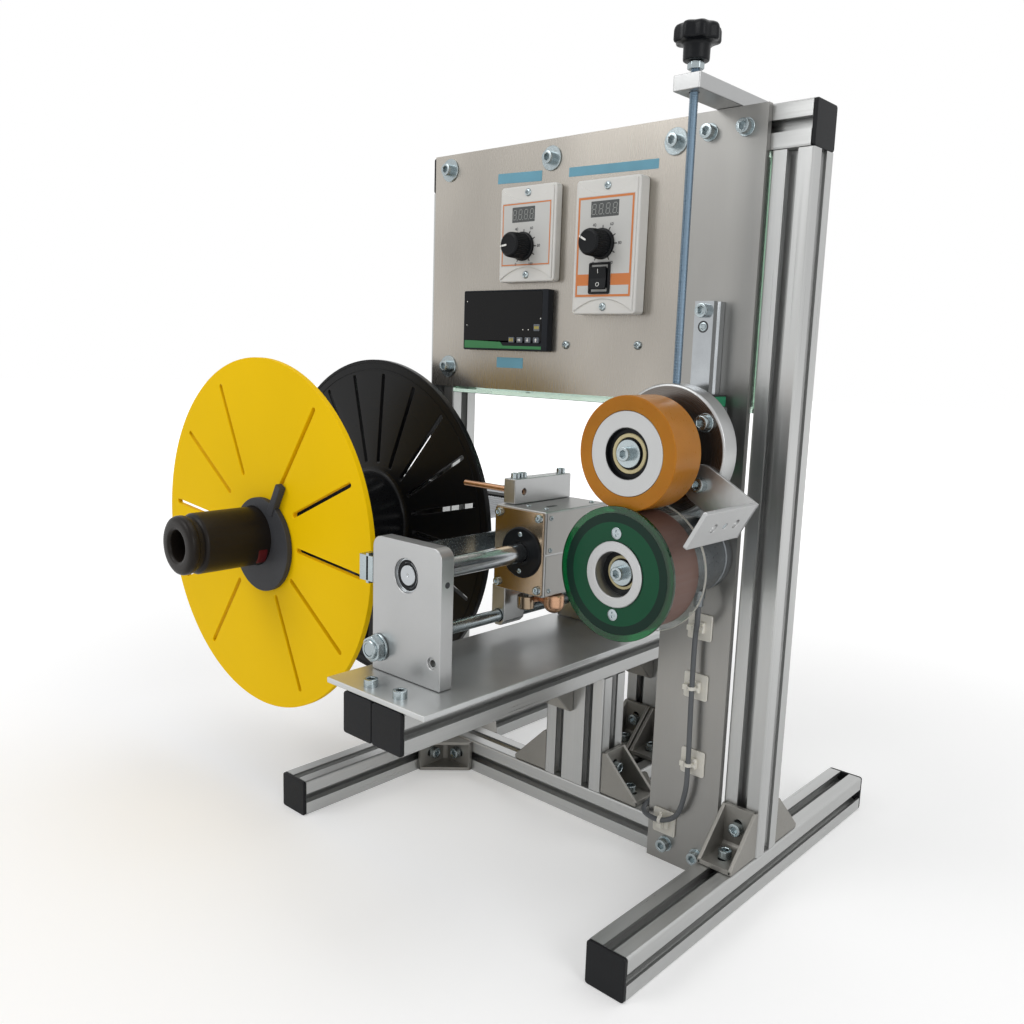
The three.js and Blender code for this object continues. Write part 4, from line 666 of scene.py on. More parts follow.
def socket_screw(head=5.0, height=6.0, key=2.5):
    """A cylinder head with a broken edge and a six-sided hole half way down."""
    hole = hexagon(key)
    return polar([(0, 0), (head, 0), (head, height - 0.7), (head - 0.2, height - 0.2), (head - 0.7, height),
                  (hole + 0.35, height), (hole, height - 0.35), (hole, height * 0.4), (0, height * 0.4)])


def cross_screw(head=3.0, height=1.6, flat=False):
    """A low dome, or a flat head, with a cross-shaped hole."""
    angle = np.linspace(0, 2 * math.pi, 49)
    c, s = np.abs(np.cos(angle)), np.abs(np.sin(angle))
    cross = np.minimum(0.56 * head / np.maximum(c, s), 0.15 * head / np.maximum(np.minimum(c, s), 1e-6))
    dome = 0.3 if flat else 0.75
    rim = [(head, 0), (head, height * (1 - dome)), (head * 0.93, height * (1 - dome * 0.55)),
           (head * 0.78, height * (1 - dome * 0.2)), (cross * 0.3 + head * 0.42, height)]
    return polar([(0, 0), *rim, (cross, height), (cross * 0.8, height * 0.35), (0, height * 0.15)], 48)


def washer(outer, inner, thick):
    """A flat ring with broken edges, its section closed on itself."""
    e = 0.25 * thick
    return polar([(inner, 0), (outer - e, 0), (outer, e), (outer, thick - e), (outer - e, thick),
                  (inner, thick), (inner, 0)], 48)


def hex_nut(across, height, bore, collar=0.0):
    """Six flats whose corners are turned off at both ends, and a locking collar if it has one."""
    flats = hexagon(across / 2, 48)
    turned_off = across * 0.48
    rows = [(bore, 0), (turned_off, 0), (np.minimum(flats, across * 0.53), 0.04 * height),
            (flats, 0.13 * height), (flats, 0.87 * height), (np.minimum(flats, across * 0.53), 0.96 * height),
            (turned_off, height)]
    if collar:
        rows += [(across * 0.42, height), (across * 0.41, height + collar * 0.7),
                 (across * 0.37, height + collar), (bore + 0.9, height + collar)]
    return polar([*rows, (bore, rows[-1][1]), (bore, 0)], 48)


def thread(radius, start, end, pitch=1.0, axis="z", sides=20):
    """A rod whose radius dips by a triangle wave of place / pitch - turn, so the dips wind round it."""
    along = np.arange(start, end, pitch / 4)[:, None]
    angle = np.linspace(0, 2 * math.pi, sides + 1)[None]
    wave = np.abs(2 * ((along / pitch - angle / (2 * math.pi)) % 1) - 1)
    reach = radius - 0.55 * pitch * wave
    grid = on_axis(reach * np.cos(angle), reach * np.sin(angle), along, axis)
    tip = np.repeat(on_axis(0, 0, np.array([[start]]), axis), sides + 1, axis=1)
    tail = np.repeat(on_axis(0, 0, np.array([[end]]), axis), sides + 1, axis=1)
    return surface(np.concatenate([tip, grid, tail]))


def screws(shape, direction, *places):
    """The same screw at several places, all looking in one direction."""
    return [facing(shape, direction, place) for place in places]


print("socket screw faces", len(socket_screw()["q"]) + len(socket_screw()["t"]))

# %% [markdown]
# ## Caps on the open profile ends
# Every open end of the slotted profile has a black moulded cap, 3 mm thick, with soft edges. A cube
# with a bevel would do, but the drawn outline has both the corner radius and the edge in one call.

# %% End caps
CAP, CORNER, STAND_END = 3.0, 2.2, 180


def end_cap(outline, start, axis="y"):
    """A plate CAP thick over an open end, its rims rounded by 0.9 mm."""
    return drawn([outline], start, start + CAP, axis, 0.9, 4)


caps = []
rail_end = box_outline(-15, 15, 530, 560, CORNER)
for middle, rail_start in ((-165, -STAND_END), (165, STAND_END - CAP)):
    foot = box_outline(middle - 15, middle + 15, 0, 30, CORNER)
    caps += [end_cap(foot, -STAND_END), end_cap(foot, STAND_END - CAP), end_cap(rail_end, rail_start, "x")]
for middle in (-10.15, 20.15):
    beam_end = box_outline(middle - 15, middle + 15, 130, 160, CORNER)
    caps += [end_cap(beam_end, -235), end_cap(beam_end, 162)]
caps.append(end_cap(box_outline(-25, 35, 0, 30, CORNER), STAND_END - CAP))
piece("end_caps", caps, black_cap, "frame")
print("caps", len(caps))

# %% [markdown]
# ## Cast corner brackets
# An angle bracket is cast: two legs with a slot each, and a web on either side whose sloping edge is
# ground bright. It is drawn once with its corner at the origin and its legs along x and z. Each
# bracket is that shape, laid along the two directions of its corner; the third direction is their
# cross product, so the shape is only turned and never mirrored.

# %% Brackets
LEG, HALF_WIDE, WALL, SCREW_AT = 36.0, 14.0, 4.0, 20.5
leg_slot = slot((SCREW_AT, 0), 13, 7)
leg = drawn([box_outline(0.3, LEG, -HALF_WIDE + 0.1, HALF_WIDE - 0.1, 1.0), leg_slot], 0.3, WALL, "z", 0.5)
web_outline = eased([(0.4, 0.4), (LEG, 0.4), (LEG, 3.6), (3.6, LEG), (0.4, LEG)],
                    [0.2, 0.8, 1.2, 1.2, 0.8], 4, True)
web = drawn([web_outline], -1.5, 1.5, "y", 0.6, 3)
fillet = drawn([np.array([(3.5, 3.5), (9, 3.5), (6, 4.4), (4.4, 6), (3.5, 9)])], -12.6, 12.6, "y", 0)
wall_leg = shell(leg["v"][:, [2, 1, 0]], leg["q"][:, ::-1], leg["t"][:, ::-1])
angle_bracket = merged([leg, wall_leg, fillet, moved(web, 0, -12.5, 0), moved(web, 0, 12.5, 0)])
bracket_screw = moved(socket_screw(), SCREW_AT, 0, WALL)
wall_screw = turned(moved(socket_screw(), -SCREW_AT, 0, WALL), "y", 90)


def laid_along(part, first, second, corner):
    """x goes to the first direction, z to the second, and y to second x first."""
    a, b = np.array(first, float), np.array(second, float)
    return shell(part["v"] @ np.stack([a, np.cross(b, a), b]) + np.array(corner), part["q"], part["t"])


RIGHT, LEFT, BACK, FRONT, UP, DOWN = (1, 0, 0), (-1, 0, 0), (0, 1, 0), (0, -1, 0), (0, 0, 1), (0, 0, -1)
CORNERS = {
    "foot_bracket": [(RIGHT, FRONT, (-150, -15, 15))],
    "upright_bracket": [(FRONT, UP, (165, -15, 30))],
    "post_bracket_right": [(RIGHT, UP, (35, 0, 30))],
    "post_bracket_left": [(LEFT, UP, (-25, 0, 30))],
    "": [
        (BACK, UP, (165, 15, 30)), (FRONT, UP, (-165, -15, 30)), (BACK, UP, (-165, 15, 30)),
        (RIGHT, BACK, (-150, 15, 15)), (LEFT, BACK, (150, 15, 15)),
        (LEFT, BACK, (-25, 15, 15)), (RIGHT, BACK, (35, 15, 15)),
        (FRONT, DOWN, (-10, -15, 130)), (FRONT, DOWN, (-10, 105, 130)), (BACK, DOWN, (20, 135, 130)),
        (FRONT, UP, (-10, 105, 30)), (FRONT, UP, (20, 105, 30)), (BACK, UP, (-10, 135, 30)),
    ],
}
screw_shapes = []
for node, corners in CORNERS.items():
    shapes = [laid_along(angle_bracket, *corner) for corner in corners]
    screw_shapes += [laid_along(merged([bracket_screw, wall_screw]), *corner) for corner in corners]
    piece(f"cast_{node or 'brackets'}", shapes, cast_bracket, "frame", [node] if node else [], 32)
piece("bracket_screws", screw_shapes, zinc, "frame")
print("bracket screws", 2 * len(screw_shapes))

# %% [markdown]
# ## Screws on the plates
# Four screws with wide washers hold the panel, four with small washers the guide plate, and two
# dome heads sit bare in the panel. All look forwards, so one call turns each list. They are separate
# shapes, not a bump on the sheet, because their shadows and bright rims are what shows from afar.

# %% Plate screws
PANEL_FRONT, GUIDE_FRONT = -17.3, -20.3
panel_places = [(-156, 547), (-40, 545), (76, 544), (-154, 377.5)]
panel_parts = screws(washer(9.6, 3.2, 1.4), "-y", *[(x, PANEL_FRONT, z) for x, z in panel_places])
panel_parts += screws(socket_screw(), "-y", *[(x, PANEL_FRONT - 1.4, z) for x, z in panel_places])
panel_parts += screws(cross_screw(3.4, 2.4), "-y", (-18, PANEL_FRONT, 399), (52, PANEL_FRONT, 400))
guide_places = [(105, 546), (133, 546), (105, 15), (133, 15)]
panel_parts += screws(washer(6.2, 3.2, 0.8), "-y", *[(x, GUIDE_FRONT, z) for x, z in guide_places])
panel_parts += screws(socket_screw(), "-y", *[(x, GUIDE_FRONT - 0.8, z) for x, z in guide_places])
piece("plate_screws", panel_parts, zinc, "frame")
print("plate screws", len(panel_parts))

# %% [markdown]
# ## Printed signs
# The dials carry numbers and the rocker its two signs. Blender's own letters are curves, so they are
# made a mesh first, and then placed and scaled as points, like every other shape here.

# %% Signs
def sign(text, size, thick=0.12):
    """The outline of a text, centred on the origin in x and y, filled and given a thickness."""
    curve = bpy.data.curves.new("sign", "FONT")
    curve.body, curve.size, curve.extrude = text, size, thick / 2
    curve.align_x, curve.align_y = "CENTER", "CENTER"
    curve.resolution_u = 3
    source = bpy.data.objects.new("sign", curve)
    mesh = bpy.data.meshes.new_from_object(source)
    mesh.calc_loop_triangles()
    points, corners = np.zeros(3 * len(mesh.vertices)), np.zeros(3 * len(mesh.loop_triangles), np.int32)
    mesh.vertices.foreach_get("co", points)
    mesh.loop_triangles.foreach_get("vertices", corners)
    bpy.data.objects.remove(source)
    bpy.data.curves.remove(curve)
    bpy.data.meshes.remove(mesh)
    return moved(shell(points, triangles=corners), 0, 0, thick / 2)


def plaque(x, z, back, front, radius=0.4, edge=0.1):
    """A thin plate that stands between two places along y, seen from the front."""
    return drawn([box_outline(*x, *z, radius)], front, back, "y", edge, 2)


def frame_strip(x, z, width, back, front):
    """The border of a rectangle, as a plate with a hole."""
    outer = box_outline(*x, *z)
    inner = box_outline(x[0] + width, x[1] - width, z[0] + width, z[1] - width)
    return drawn([outer, inner], front, back, "y", 0)


# %% [markdown]
# ## The two dial units
# Each is an ivory moulding screwed to the panel. Its face is raised between two hollows, one round
# each screw, whose edge is a shallow arc. On the face lie a grey label with an orange border, a
# display whose unlit figures show faintly, and a dial of eleven ticks with a number at every second.

# %% Bezels
def bezel(left, right, bottom, top, label_bottom, label_top, front):
    """A base plate and a raised face; the face's two ends dip by a parabola, sag (1 - across ** 2)."""
    across = np.linspace(-1, 1, 25)
    middle, half = (left + right) / 2, (right - left) / 2 - 2.2
    upper = np.stack([middle + half * across, label_top + 1 + (top - 3.2 - label_top) * across ** 2], axis=1)
    lower = np.stack([middle + half * across,
                      label_bottom - 1 - (label_bottom - 3.2 - bottom) * across ** 2], axis=1)
    base = drawn([box_outline(left, right, bottom, top, 3, 6)], front + 1.1, PANEL_FRONT, "y", 1.2, 4)
    face = drawn([np.concatenate([lower, upper[::-1]])], front, front + 1.4, "y", 0.5, 3)
    return [base, face]


UNITS = {
    "speed": {"box": (-87.5, -27.5, 449, 525), "label": (-84.2, -31.2, 461.5, 512), "front": -26.0,
              "knob": (-59.8, 477), "display": (-73, -48.6, 496.3, 508.3)},
    "torque": {"box": (-4.5, 55.5, 422.5, 522.5), "label": (-1.2, 51.8, 435, 510), "front": -30.0,
               "knob": (23.5, 474.5), "display": (11.5, 37.5, 494.3, 506)},
}
ROCKER = (15, 30, 440.1, 458.5)
print("dial units", list(UNITS))

# %% [markdown]
# An unlit figure is seven small bars, at steps of half the figure's width and height. The dial's
# ticks stand on one circle and its numbers on a wider one. Both could be one printed picture, but
# bars and ticks as thin shapes stay sharp from near and need no picture.

# %% Figures and dials
BARS = [(0, 1, 0), (0.5, 0.5, 90), (0.5, -0.5, 90), (0, -1, 0), (-0.5, -0.5, 90), (-0.5, 0.5, 90), (0, 0, 0)]
TICK_CIRCLE, NUMBER_CIRCLE = 12.4, 16.2


def eight(x, z, wide, high, face):
    """The seven bars of an unlit figure: each is a slot-shaped plate, turned flat or upright."""
    bars = []
    for across, upward, turn_by in BARS:
        length = (high / 2 if turn_by else wide) * 0.86
        centre = (x + across * wide + 0.08 * upward * high / 2, z + upward * high / 2)
        bars.append(drawn([slot(centre, length, 0.62, turn_by - (8 if turn_by else 0), 3)], face - 0.06,
                          face, "y", 0))
    return bars


def dial(x, z, face):
    """Eleven ticks and six numbers at -150 + 30 n degrees from straight up, clockwise."""
    marks = []
    for step in range(11):
        angle = math.radians(-150 + 30 * step)
        direction = np.array([math.sin(angle), math.cos(angle)])
        centre = np.array([x, z]) + TICK_CIRCLE * direction
        marks.append(drawn([slot(centre, 3.0, 0.85, 90 - math.degrees(angle), 2)], face - 0.08, face, "y", 0))
        if step % 2 == 0:
            place = np.array([x, z]) + NUMBER_CIRCLE * direction
            marks.append(facing(sign(str(10 * step), 3.3), "-y", (place[0], face, place[1])))
    return marks


print("bars in a figure", len(BARS))

# %% [markdown]
# The two units differ in size, in the width of the orange border and in how deep their case reaches
# behind the panel, and the torque unit's border has a bar on each side of the rocker. So one loop
# lays both, from the numbers above, and each layer stands a tenth of a millimetre before the last.

# %% Both units
for unit, of in UNITS.items():
    left, right, bottom, top = of["box"]
    face = of["front"]
    l, r, b, t = of["label"]
    case_back, border = (37.7, 1.0) if unit == "speed" else (42.7, 1.7)
    body = bezel(left, right, bottom, top, b, t, face)
    body.append(bar((left + 3.5, right - 3.5), (-15.2, case_back), (bottom + 3.5, top - 3.5)))
    piece(f"{unit}_bezel", body, ivory, "frame", [f"{unit}_unit"], 30)
    piece(f"{unit}_label", plaque((l, r), (b, t), face, face - 0.1), label_grey, "frame")
    orange = [frame_strip((l + 0.6, r - 0.6), (b + 0.6, t - 0.6), border, face, face - 0.16)]
    if unit == "torque":
        orange.append(plaque((l + 1, ROCKER[0] - 2.6), (444, 452.5), face, face - 0.15))
        orange.append(plaque((ROCKER[1] + 2.6, r - 1), (444, 452.5), face, face - 0.15))
    piece(f"{unit}_border", orange, label_orange, "frame")
    dl, dr, db, dt = of["display"]
    piece(f"{unit}_display", plaque((dl, dr), (db, dt), face, face - 0.22), display_grey, "frame")
    figures = []
    for k in range(4):
        x = dl + (k + 0.5) * (dr - dl) / 4 - 0.3
        figures += eight(x, (db + dt) / 2, 3.3, 7.4, face - 0.22)
        figures.append(drawn([circle(0.45, 10, (x + 2.7, db + 2))], face - 0.28, face - 0.22, "y", 0))
    piece(f"{unit}_figures", figures, segment_grey, "frame")
    piece(f"{unit}_dial", dial(*of["knob"], face - 0.1), print_and_hole_shade_black, "frame")
    middle = (left + right) / 2
    bolts = screws(cross_screw(3.1, 1.5), "-y", (middle, face + 1.1, top - 5.6),
                   (middle, face + 1.1, bottom + 5.6))
    piece(f"{unit}_bezel_screws", bolts, zinc, "frame")
print("pieces so far", len(made))

# %% [markdown]
# ## Knobs, rocker and blue strips
# A dial knob is a fluted grip over a wider skirt, with a white pointer. The flutes are a small wave
# added to the radius. The knob is drawn at its own turn, so the pointer stands as it does at rest.

# %% Knobs
FLUTES, FLUTE_DEPTH = 40, 0.28


def dial_knob(x, z, face, pointer):
    """Radius = section + depth x share x cos(flutes x t), where the share is 1 on the grip's side and
    0 elsewhere."""
    section = np.array([(0, 0, 0), (11.2, 0, 0), (11.5, 0.3, 0), (11.5, 2.1, 0), (11.1, 2.5, 0),
                        (10.2, 2.7, 0), (10.05, 3.4, 1), (9.7, 15, 1), (9.45, 16.6, 1), (9.1, 17.4, 0.3),
                        (8.4, 17.9, 0), (7.6, 18, 0), (7.3, 17.7, 0), (0, 17.7, 0)])
    angle = np.linspace(0, 2 * math.pi, 241)[None]
    reach = section[:, :1] + FLUTE_DEPTH * section[:, 2:] * np.cos(FLUTES * angle)
    grid = on_axis(reach * np.cos(angle), reach * np.sin(angle), -section[:, 1:2], "y")
    body = moved(surface(grid), x, face, z)
    radians = math.radians(pointer)
    direction = np.array([math.sin(radians), math.cos(radians)])
    on_top, on_side = np.array([x, z]) + 5.9 * direction, np.array([x, z]) + 9.3 * direction
    mark = drawn([slot(on_top, 7.2, 1.5, 90 - pointer, 4)], face - 17.95, face - 17.5, "y", 0.1)
    edge_mark = drawn([slot(on_side, 1.6, 1.5, 90 - pointer, 3)], face - 17.3, face - 12.5, "y", 0.1)
    return body, [mark, edge_mark]


for unit, pointer in (("speed", -97), ("torque", -62)):
    x, z = UNITS[unit]["knob"]
    body, mark = dial_knob(x, z, UNITS[unit]["front"] - 0.3, pointer)
    piece(f"{unit}_knob_body", body, black_knob, f"{unit}_knob", [f"{unit}_knob"], 45)
    piece(f"{unit}_knob_pointer", mark, mark_white, f"{unit}_knob")
print("flutes on a knob", FLUTES)

# %% [markdown]
# A rocker switch stands in a black frame. Seen from the side its front is hollow, so that one half
# stands out when it tips, and its back is part of a circle, so that it has room to. That side view
# is drawn out across the width, and the frame is an outline with a hole.

# %% Rocker
frame_sides = [box_outline(12.5, 32.5, 437.6, 461, 1.5), box_outline(14.6, 30.4, 439.3, 459.3, 0.5)]
rim = drawn(frame_sides, -31.5, -30, "y", 0.5, 3)
pocket = bar((14.6, 30.4), (-22.9, -22.3), (439.3, 459.3), 0)
piece("rocker_frame", [rim, pocket], black_knob, "frame")
tilt = np.radians(np.linspace(-70, 70, 17))
back_arc = np.stack([-28.5 + 5.0 * np.cos(tilt), 449.3 + 5.0 * np.sin(tilt)], axis=1)
rocker_side = np.concatenate([[(-33.5, 440.15)], back_arc, [(-33.5, 458.45), (-32.3, 449.3)]])
rocker_side = eased(rocker_side, [0.7] + [0] * 17 + [0.7, 4], 4, True)
side_view = drawn([rocker_side], 15.05, 29.95, "x", 0.3)
piece("rocker_cap", side_view, black_knob, "rocker", ["rocker_switch"])
signs = []
for letter, place, lean in (("I", (22.5, -33.0, 454.2), 7), ("O", (22.5, -33.0, 444.4), -7)):
    signs.append(turned(facing(sign(letter, 4.6), "-y", place), "x", lean, place))
piece("rocker_signs", signs, mark_white, "rocker")
print("rocker signs", len(signs))

# %% [markdown]
# Three strips of blue plastic stick on the panel, two of them a little aslant. Each is a plaque of
# 0.15 mm, turned by its own lean round its middle.

# %% Blue strips
strips = [turned(plaque(x, z, PANEL_FRONT, PANEL_FRONT - 0.15), "y", -lean, (sum(x) / 2, 0, sum(z) / 2))
          for x, z, lean in (((-98.5, -50), (529.5, 537.6), -2), ((-22, 62), (528, 535), -1.3),
                             ((-94.3, -64.2), (378.5, 387.2), 0))]
piece("blue_strips", strips, strip_blue, "frame")
print("blue strips", len(strips))

# %% [markdown]
# ## The length meter
# A flat black case whose front is one dark window with a green line below, taller on the left and
# slanted where it steps down. A printed picture would give all of it, but the window lies in a
# shallow recess whose rim catches the light, so case, window and line are three shapes. Five white
# dots stand for its small lamps.

# %% Length meter
left, right, bottom, top = -129, -33, 393, 443
front = -24.0
key_x, key_z = np.array([-71.5, -62.4, -53.3, -44.2]), 402.0
holes = [box_outline(x - 3.4, x + 3.4, key_z - 2.7, key_z + 2.7, 0.5) for x in key_x]
outline = box_outline(left, right, bottom, top, 1.5)
recess = box_outline(left + 1.2, right - 6.2, bottom + 1.2, top - 1.2, 0.8)
recess_floor = box_outline(left + 0.9, right - 5.9, bottom + 0.9, top - 0.9)
case = [
    drawn([outline, recess], front, PANEL_FRONT, "y", 0.5, 3),
    drawn([recess_floor, *holes], front + 0.5, front + 2.0, "y", 0),
    bar((left + 1, right - 1), (front + 4.6, PANEL_FRONT), (bottom + 1, top - 1), 0),
    bar((left + 2.5, right - 2.5), (-15.2, 57.7), (bottom + 2.5, top - 2.5), 0.8),
]
piece("meter_case", case, meter_black, "frame", ["length_meter"])
window_holes = [box_outline(x - 3.35, x + 3.35, key_z - 2.65, key_z + 2.65, 0.5) for x in key_x]
window = drawn([box_outline(left + 1.3, right - 6.3, bottom + 8.2, top - 1.4), *window_holes],
               front + 0.15, front + 0.5, "y", 0)
piece("meter_window", window, meter_window, "frame")
line = np.array([(left + 1.3, bottom + 1.6), (right - 6.3, bottom + 1.6), (right - 6.3, bottom + 4.0),
                 (left + 47, bottom + 4.0), (left + 43, bottom + 8.0), (left + 1.3, bottom + 8.0)])
piece("meter_line", drawn([line], front + 0.15, front + 0.5, "y", 0), meter_green, "frame")
lamp_places = [(-59.5, 410.5), (-53.5, 410.5), (-40.5, 419.5), (-125, 414), (-125, 434)]
lamps = [drawn([circle(0.5, 12, place)], front + 0.05, front + 0.2, "y", 0) for place in lamp_places]
piece("meter_lamps", lamps, mark_white, "frame")
print("meter's lamps", len(lamps))

# %% [markdown]
# Four small keys stand in holes of the window's lower right, each on a slide of its own, and a
# fifth is fixed above the last. Each key is a drawn block with a thin sign on its face: three bars,
# or one arrow that is turned to point right, down or up.

# %% Meter keys
piece("meter_fifth_key", plaque((-47.4, -41), (409.4, 415), front + 0.2, front - 0.5, 0.6, 0.25),
      key_grey, "frame")
fifth = [bar((x, x + 0.8), (front - 0.6, front - 0.5), (411, 413.4), 0) for x in (-46.4, -45.1, -43.8, -42.6)]
piece("meter_fifth_mark", fifth, mark_yellow, "frame")
TURN = {"right": 0, "up": 90, "down": -90}
for number, (x, kind) in enumerate(zip(key_x, ("bars", "right", "down", "up")), start=1):
    key_outline = box_outline(x - 3, x + 3, key_z - 2.3, key_z + 2.3, 0.6)
    key = drawn([key_outline], front - 1, front + 3, "y", 0.35, 3)
    piece(f"meter_key_{number}_cap", key, key_grey, f"meter_key_{number}",
          [f"meter_key_{number}"])
    if kind == "bars":
        mark = [bar((x + k - 0.4, x + k + 0.4), (front - 1.1, front - 1), (key_z - 1.3, key_z + 1.3), 0)
                for k in (-1.7, -0.1, 1.5)]
    else:
        arrow = np.array([(-1.5, -0.45), (0.1, -0.45), (0.1, -1.3), (1.6, 0), (0.1, 1.3), (0.1, 0.45),
                          (-1.5, 0.45)])
        mark = [moved(turned(drawn([arrow], front - 1.1, front - 1, "y", 0), "y", -TURN[kind]), x, 0, key_z)]
    piece(f"meter_key_{number}_mark", mark, mark_yellow if kind == "bars" else mark_white,
          f"meter_key_{number}")
print("meter keys", len(key_x))

# %% [markdown]
# ## The spool
# A black spool half with its core, and a yellow plate that comes off: both are flat discs with slots
# that let the hook of a filament's end through. The slots are holes in the drawn outline, so their
# walls show the plate's thickness, and the black one carries fine moulded rings round the spindle.

# %% Spool
SPIN = SPIN_X, SPIN_Z = -220.0, 231.0
CENTRE = (SPIN_X, 0, SPIN_Z)
FLANGE_RADIUS, BORE = 150, 25.4
SLOT_MIDDLE, SLOT_LENGTH, SLOT_WIDTH = 96, 84, 4.0


def slotted_disc(front, back, turns, edge):
    """A disc with a bore, and at each turn a radial slot round its middle radius."""
    loops = [circle(FLANGE_RADIUS, 180, SPIN), circle(BORE, 64, SPIN)]
    for angle in turns:
        direction = np.array([math.cos(math.radians(angle)), math.sin(math.radians(angle))])
        loops.append(slot(np.array(SPIN) + SLOT_MIDDLE * direction, SLOT_LENGTH, SLOT_WIDTH, angle, 5))
    return drawn(loops, front, back, "y", edge, 3)


yellow_turns = [-5 + 30 * number for number in range(12) if number not in (3, 9)]
piece("yellow_flange", slotted_disc(-174.3, -169.3, yellow_turns, 0.6), yellow_spool, "spindle",
      ["spool_front_flange"], 30)
core_section = [(25.4, -169), (44.2, -169), (45, -168.2), (45, -52), (45.6, -50), (47.5, -48.4),
                (50, -48), (51, -47.6), (51, -46), (25.4, -46), (25.4, -169)]
rim_rings = [lathe([(r, -47.9), (r + 0.2, -48.5), (r + 1.4, -48.5), (r + 1.6, -47.9), (r, -47.9)], CENTRE,
                   "y", 144) for r in (140.5, 147)]
black_turns = [13 + 18 * number for number in range(20)]
piece("spool_half", [slotted_disc(-48, -43, black_turns, 0.5), *rim_rings], black_spool, "spindle",
      ["spool_core"], 30)
piece("spool_barrel", lathe(core_section, CENTRE), black_side, "spindle")
print("slots, front and back", len(yellow_turns), len(black_turns))

# %% [markdown]
# ## Clamp ring
# The ring that holds the yellow plate is an eccentric: its rim's middle lies beside the spindle, so
# that a turn by its tab jams it. It is a disc drawn out with a hole off its middle, and the tab is a
# small block laid over its face, along a radius of the rim.

# %% Clamp ring
OFF_CENTRE, OFF_TURN = 10.7, math.radians(-37)
RIM_X, RIM_Z = SPIN_X + OFF_CENTRE * math.cos(OFF_TURN), SPIN_Z + OFF_CENTRE * math.sin(OFF_TURN)
ring_loops = [circle(40, 128, (RIM_X, RIM_Z)), circle(25.3, 96, SPIN)]
ring_plate = drawn(ring_loops, -179.6, -174.6, "y", 0.6, 3)
tab = turned(bar((32, 61), (-181, -174.9), (-3.5, 3.5), 0.7, "y", 1.0, 3), "y", -61)
piece("spool_clamp_ring", [ring_plate, moved(tab, RIM_X, 0, RIM_Z)], ring_plastic, "clamp_ring",
      ["clamp_ring"])
print("ring's rim round", (round(RIM_X, 2), round(RIM_Z, 2)))

# %% [markdown]
# ## Spindle
# The nose is a soft-edged tube with a groove behind its lip, and a dark red key lies in its side. The
# key's border is soft, so it is a patch of the nose's own round, lifted by a formula that is flat in
# the middle and falls off steeply at all four sides; a bevelled block would show a hard edge there.

# %% Spindle
nose_section = [(0, -228.6), (11.6, -228.6), (12.3, -229.2), (12.5, -230), (12.5, -247.6), (12.9, -249.2),
                (14, -250.3), (15.4, -250.6), (19.4, -250.6), (21.8, -250), (23.4, -248.8), (24.1, -247),
                (24.1, -243.6), (23.7, -242.4), (22.9, -241.7), (22, -241.4), (21.9, -237.6),
                (22.9, -237.1), (24.2, -236.2), (25, -234.6), (25, -42.7), (31.2, -42.7), (31.8, -42.4),
                (32, -41.8), (32, -37), (31.4, -36.2), (12, -36.2), (0, -36.2)]
piece("spindle_nose", lathe(nose_section, CENTRE), nose_plastic, "spindle", ["spindle_shaft"])


def key_in_the_nose():
    """A pad on the nose's side: its angle and its place along the spindle run over a slanted patch,
    and it stands proud by 0.7 x (1 - across ** 6) x (1 - along ** 6), so that its border falls inside."""
    across, along = np.linspace(-1, 1, 21)[:, None], np.linspace(-1, 1, 15)[None]
    angle = np.radians(-38 + 21 * across)
    place = -184.4 + 4.6 * along - 1.6 * across
    reach = 24.8 + 0.7 * (1 - across ** 6) * (1 - along ** 6)
    top = on_axis(reach * np.cos(angle), reach * np.sin(angle), place + 0 * angle, "y")
    bottom = on_axis(24.2 * np.cos(angle) + 0 * along, 24.2 * np.sin(angle) + 0 * along,
                     place + 0 * angle, "y")
    under = surface(bottom)
    over = surface(top)
    rows, columns = top.shape[:2]
    ring = np.concatenate([np.arange(columns), np.arange(2, rows + 1) * columns - 1,
                           rows * columns - 2 - np.arange(columns - 1), np.arange(rows - 2, 0, -1) * columns])
    ring = np.append(ring, 0)
    side = surface(np.stack([top.reshape(-1, 3)[ring], bottom.reshape(-1, 3)[ring]]))
    under = shell(under["v"], under["q"][:, ::-1], under["t"])
    return moved(outward(welded(merged([over, under, side]))), SPIN_X, 0, SPIN_Z)


piece("spindle_key", key_in_the_nose(), red_plastic, "spindle")
print("faces of the nose", len(lathe(nose_section)["q"]))

# %% [markdown]
# ## Pulleys and belt
# Behind the spool the spindle has a steel shaft and a toothed pulley, and so has the traverse shaft.
# A toothed outline is a circle whose radius follows a square-shouldered wave. Cutting each tooth out
# would do too, but one wave puts the right number of them round in one go.

# %% Pulleys
def toothed(radius, teeth):
    """Radius less (0.5 + 0.5 tanh(3 cos(teeth t))): nearly square teeth, 1 mm deep, with eased corners."""
    angle = np.linspace(0, 2 * math.pi, teeth * 8, endpoint=False)
    reach = radius - (0.5 + 0.5 * np.tanh(3 * np.cos(teeth * angle)))
    return np.stack([reach * np.cos(angle), reach * np.sin(angle)], axis=1)


def pulley(centre, radius, teeth):
    """Toothed barrel between two lips."""
    low, high = radius + 2.3, radius + 2.5
    lips = [lathe([(5, a), (low, a), (high, a + 0.2), (high, a + 0.8), (low, a + 1), (5, a + 1), (5, a)],
                  centre) for a in (25, 40)]
    barrel = drawn([toothed(radius, teeth) + [centre[0], centre[2]]], 25.6, 40.4, "y", 0)
    return [barrel, *lips]


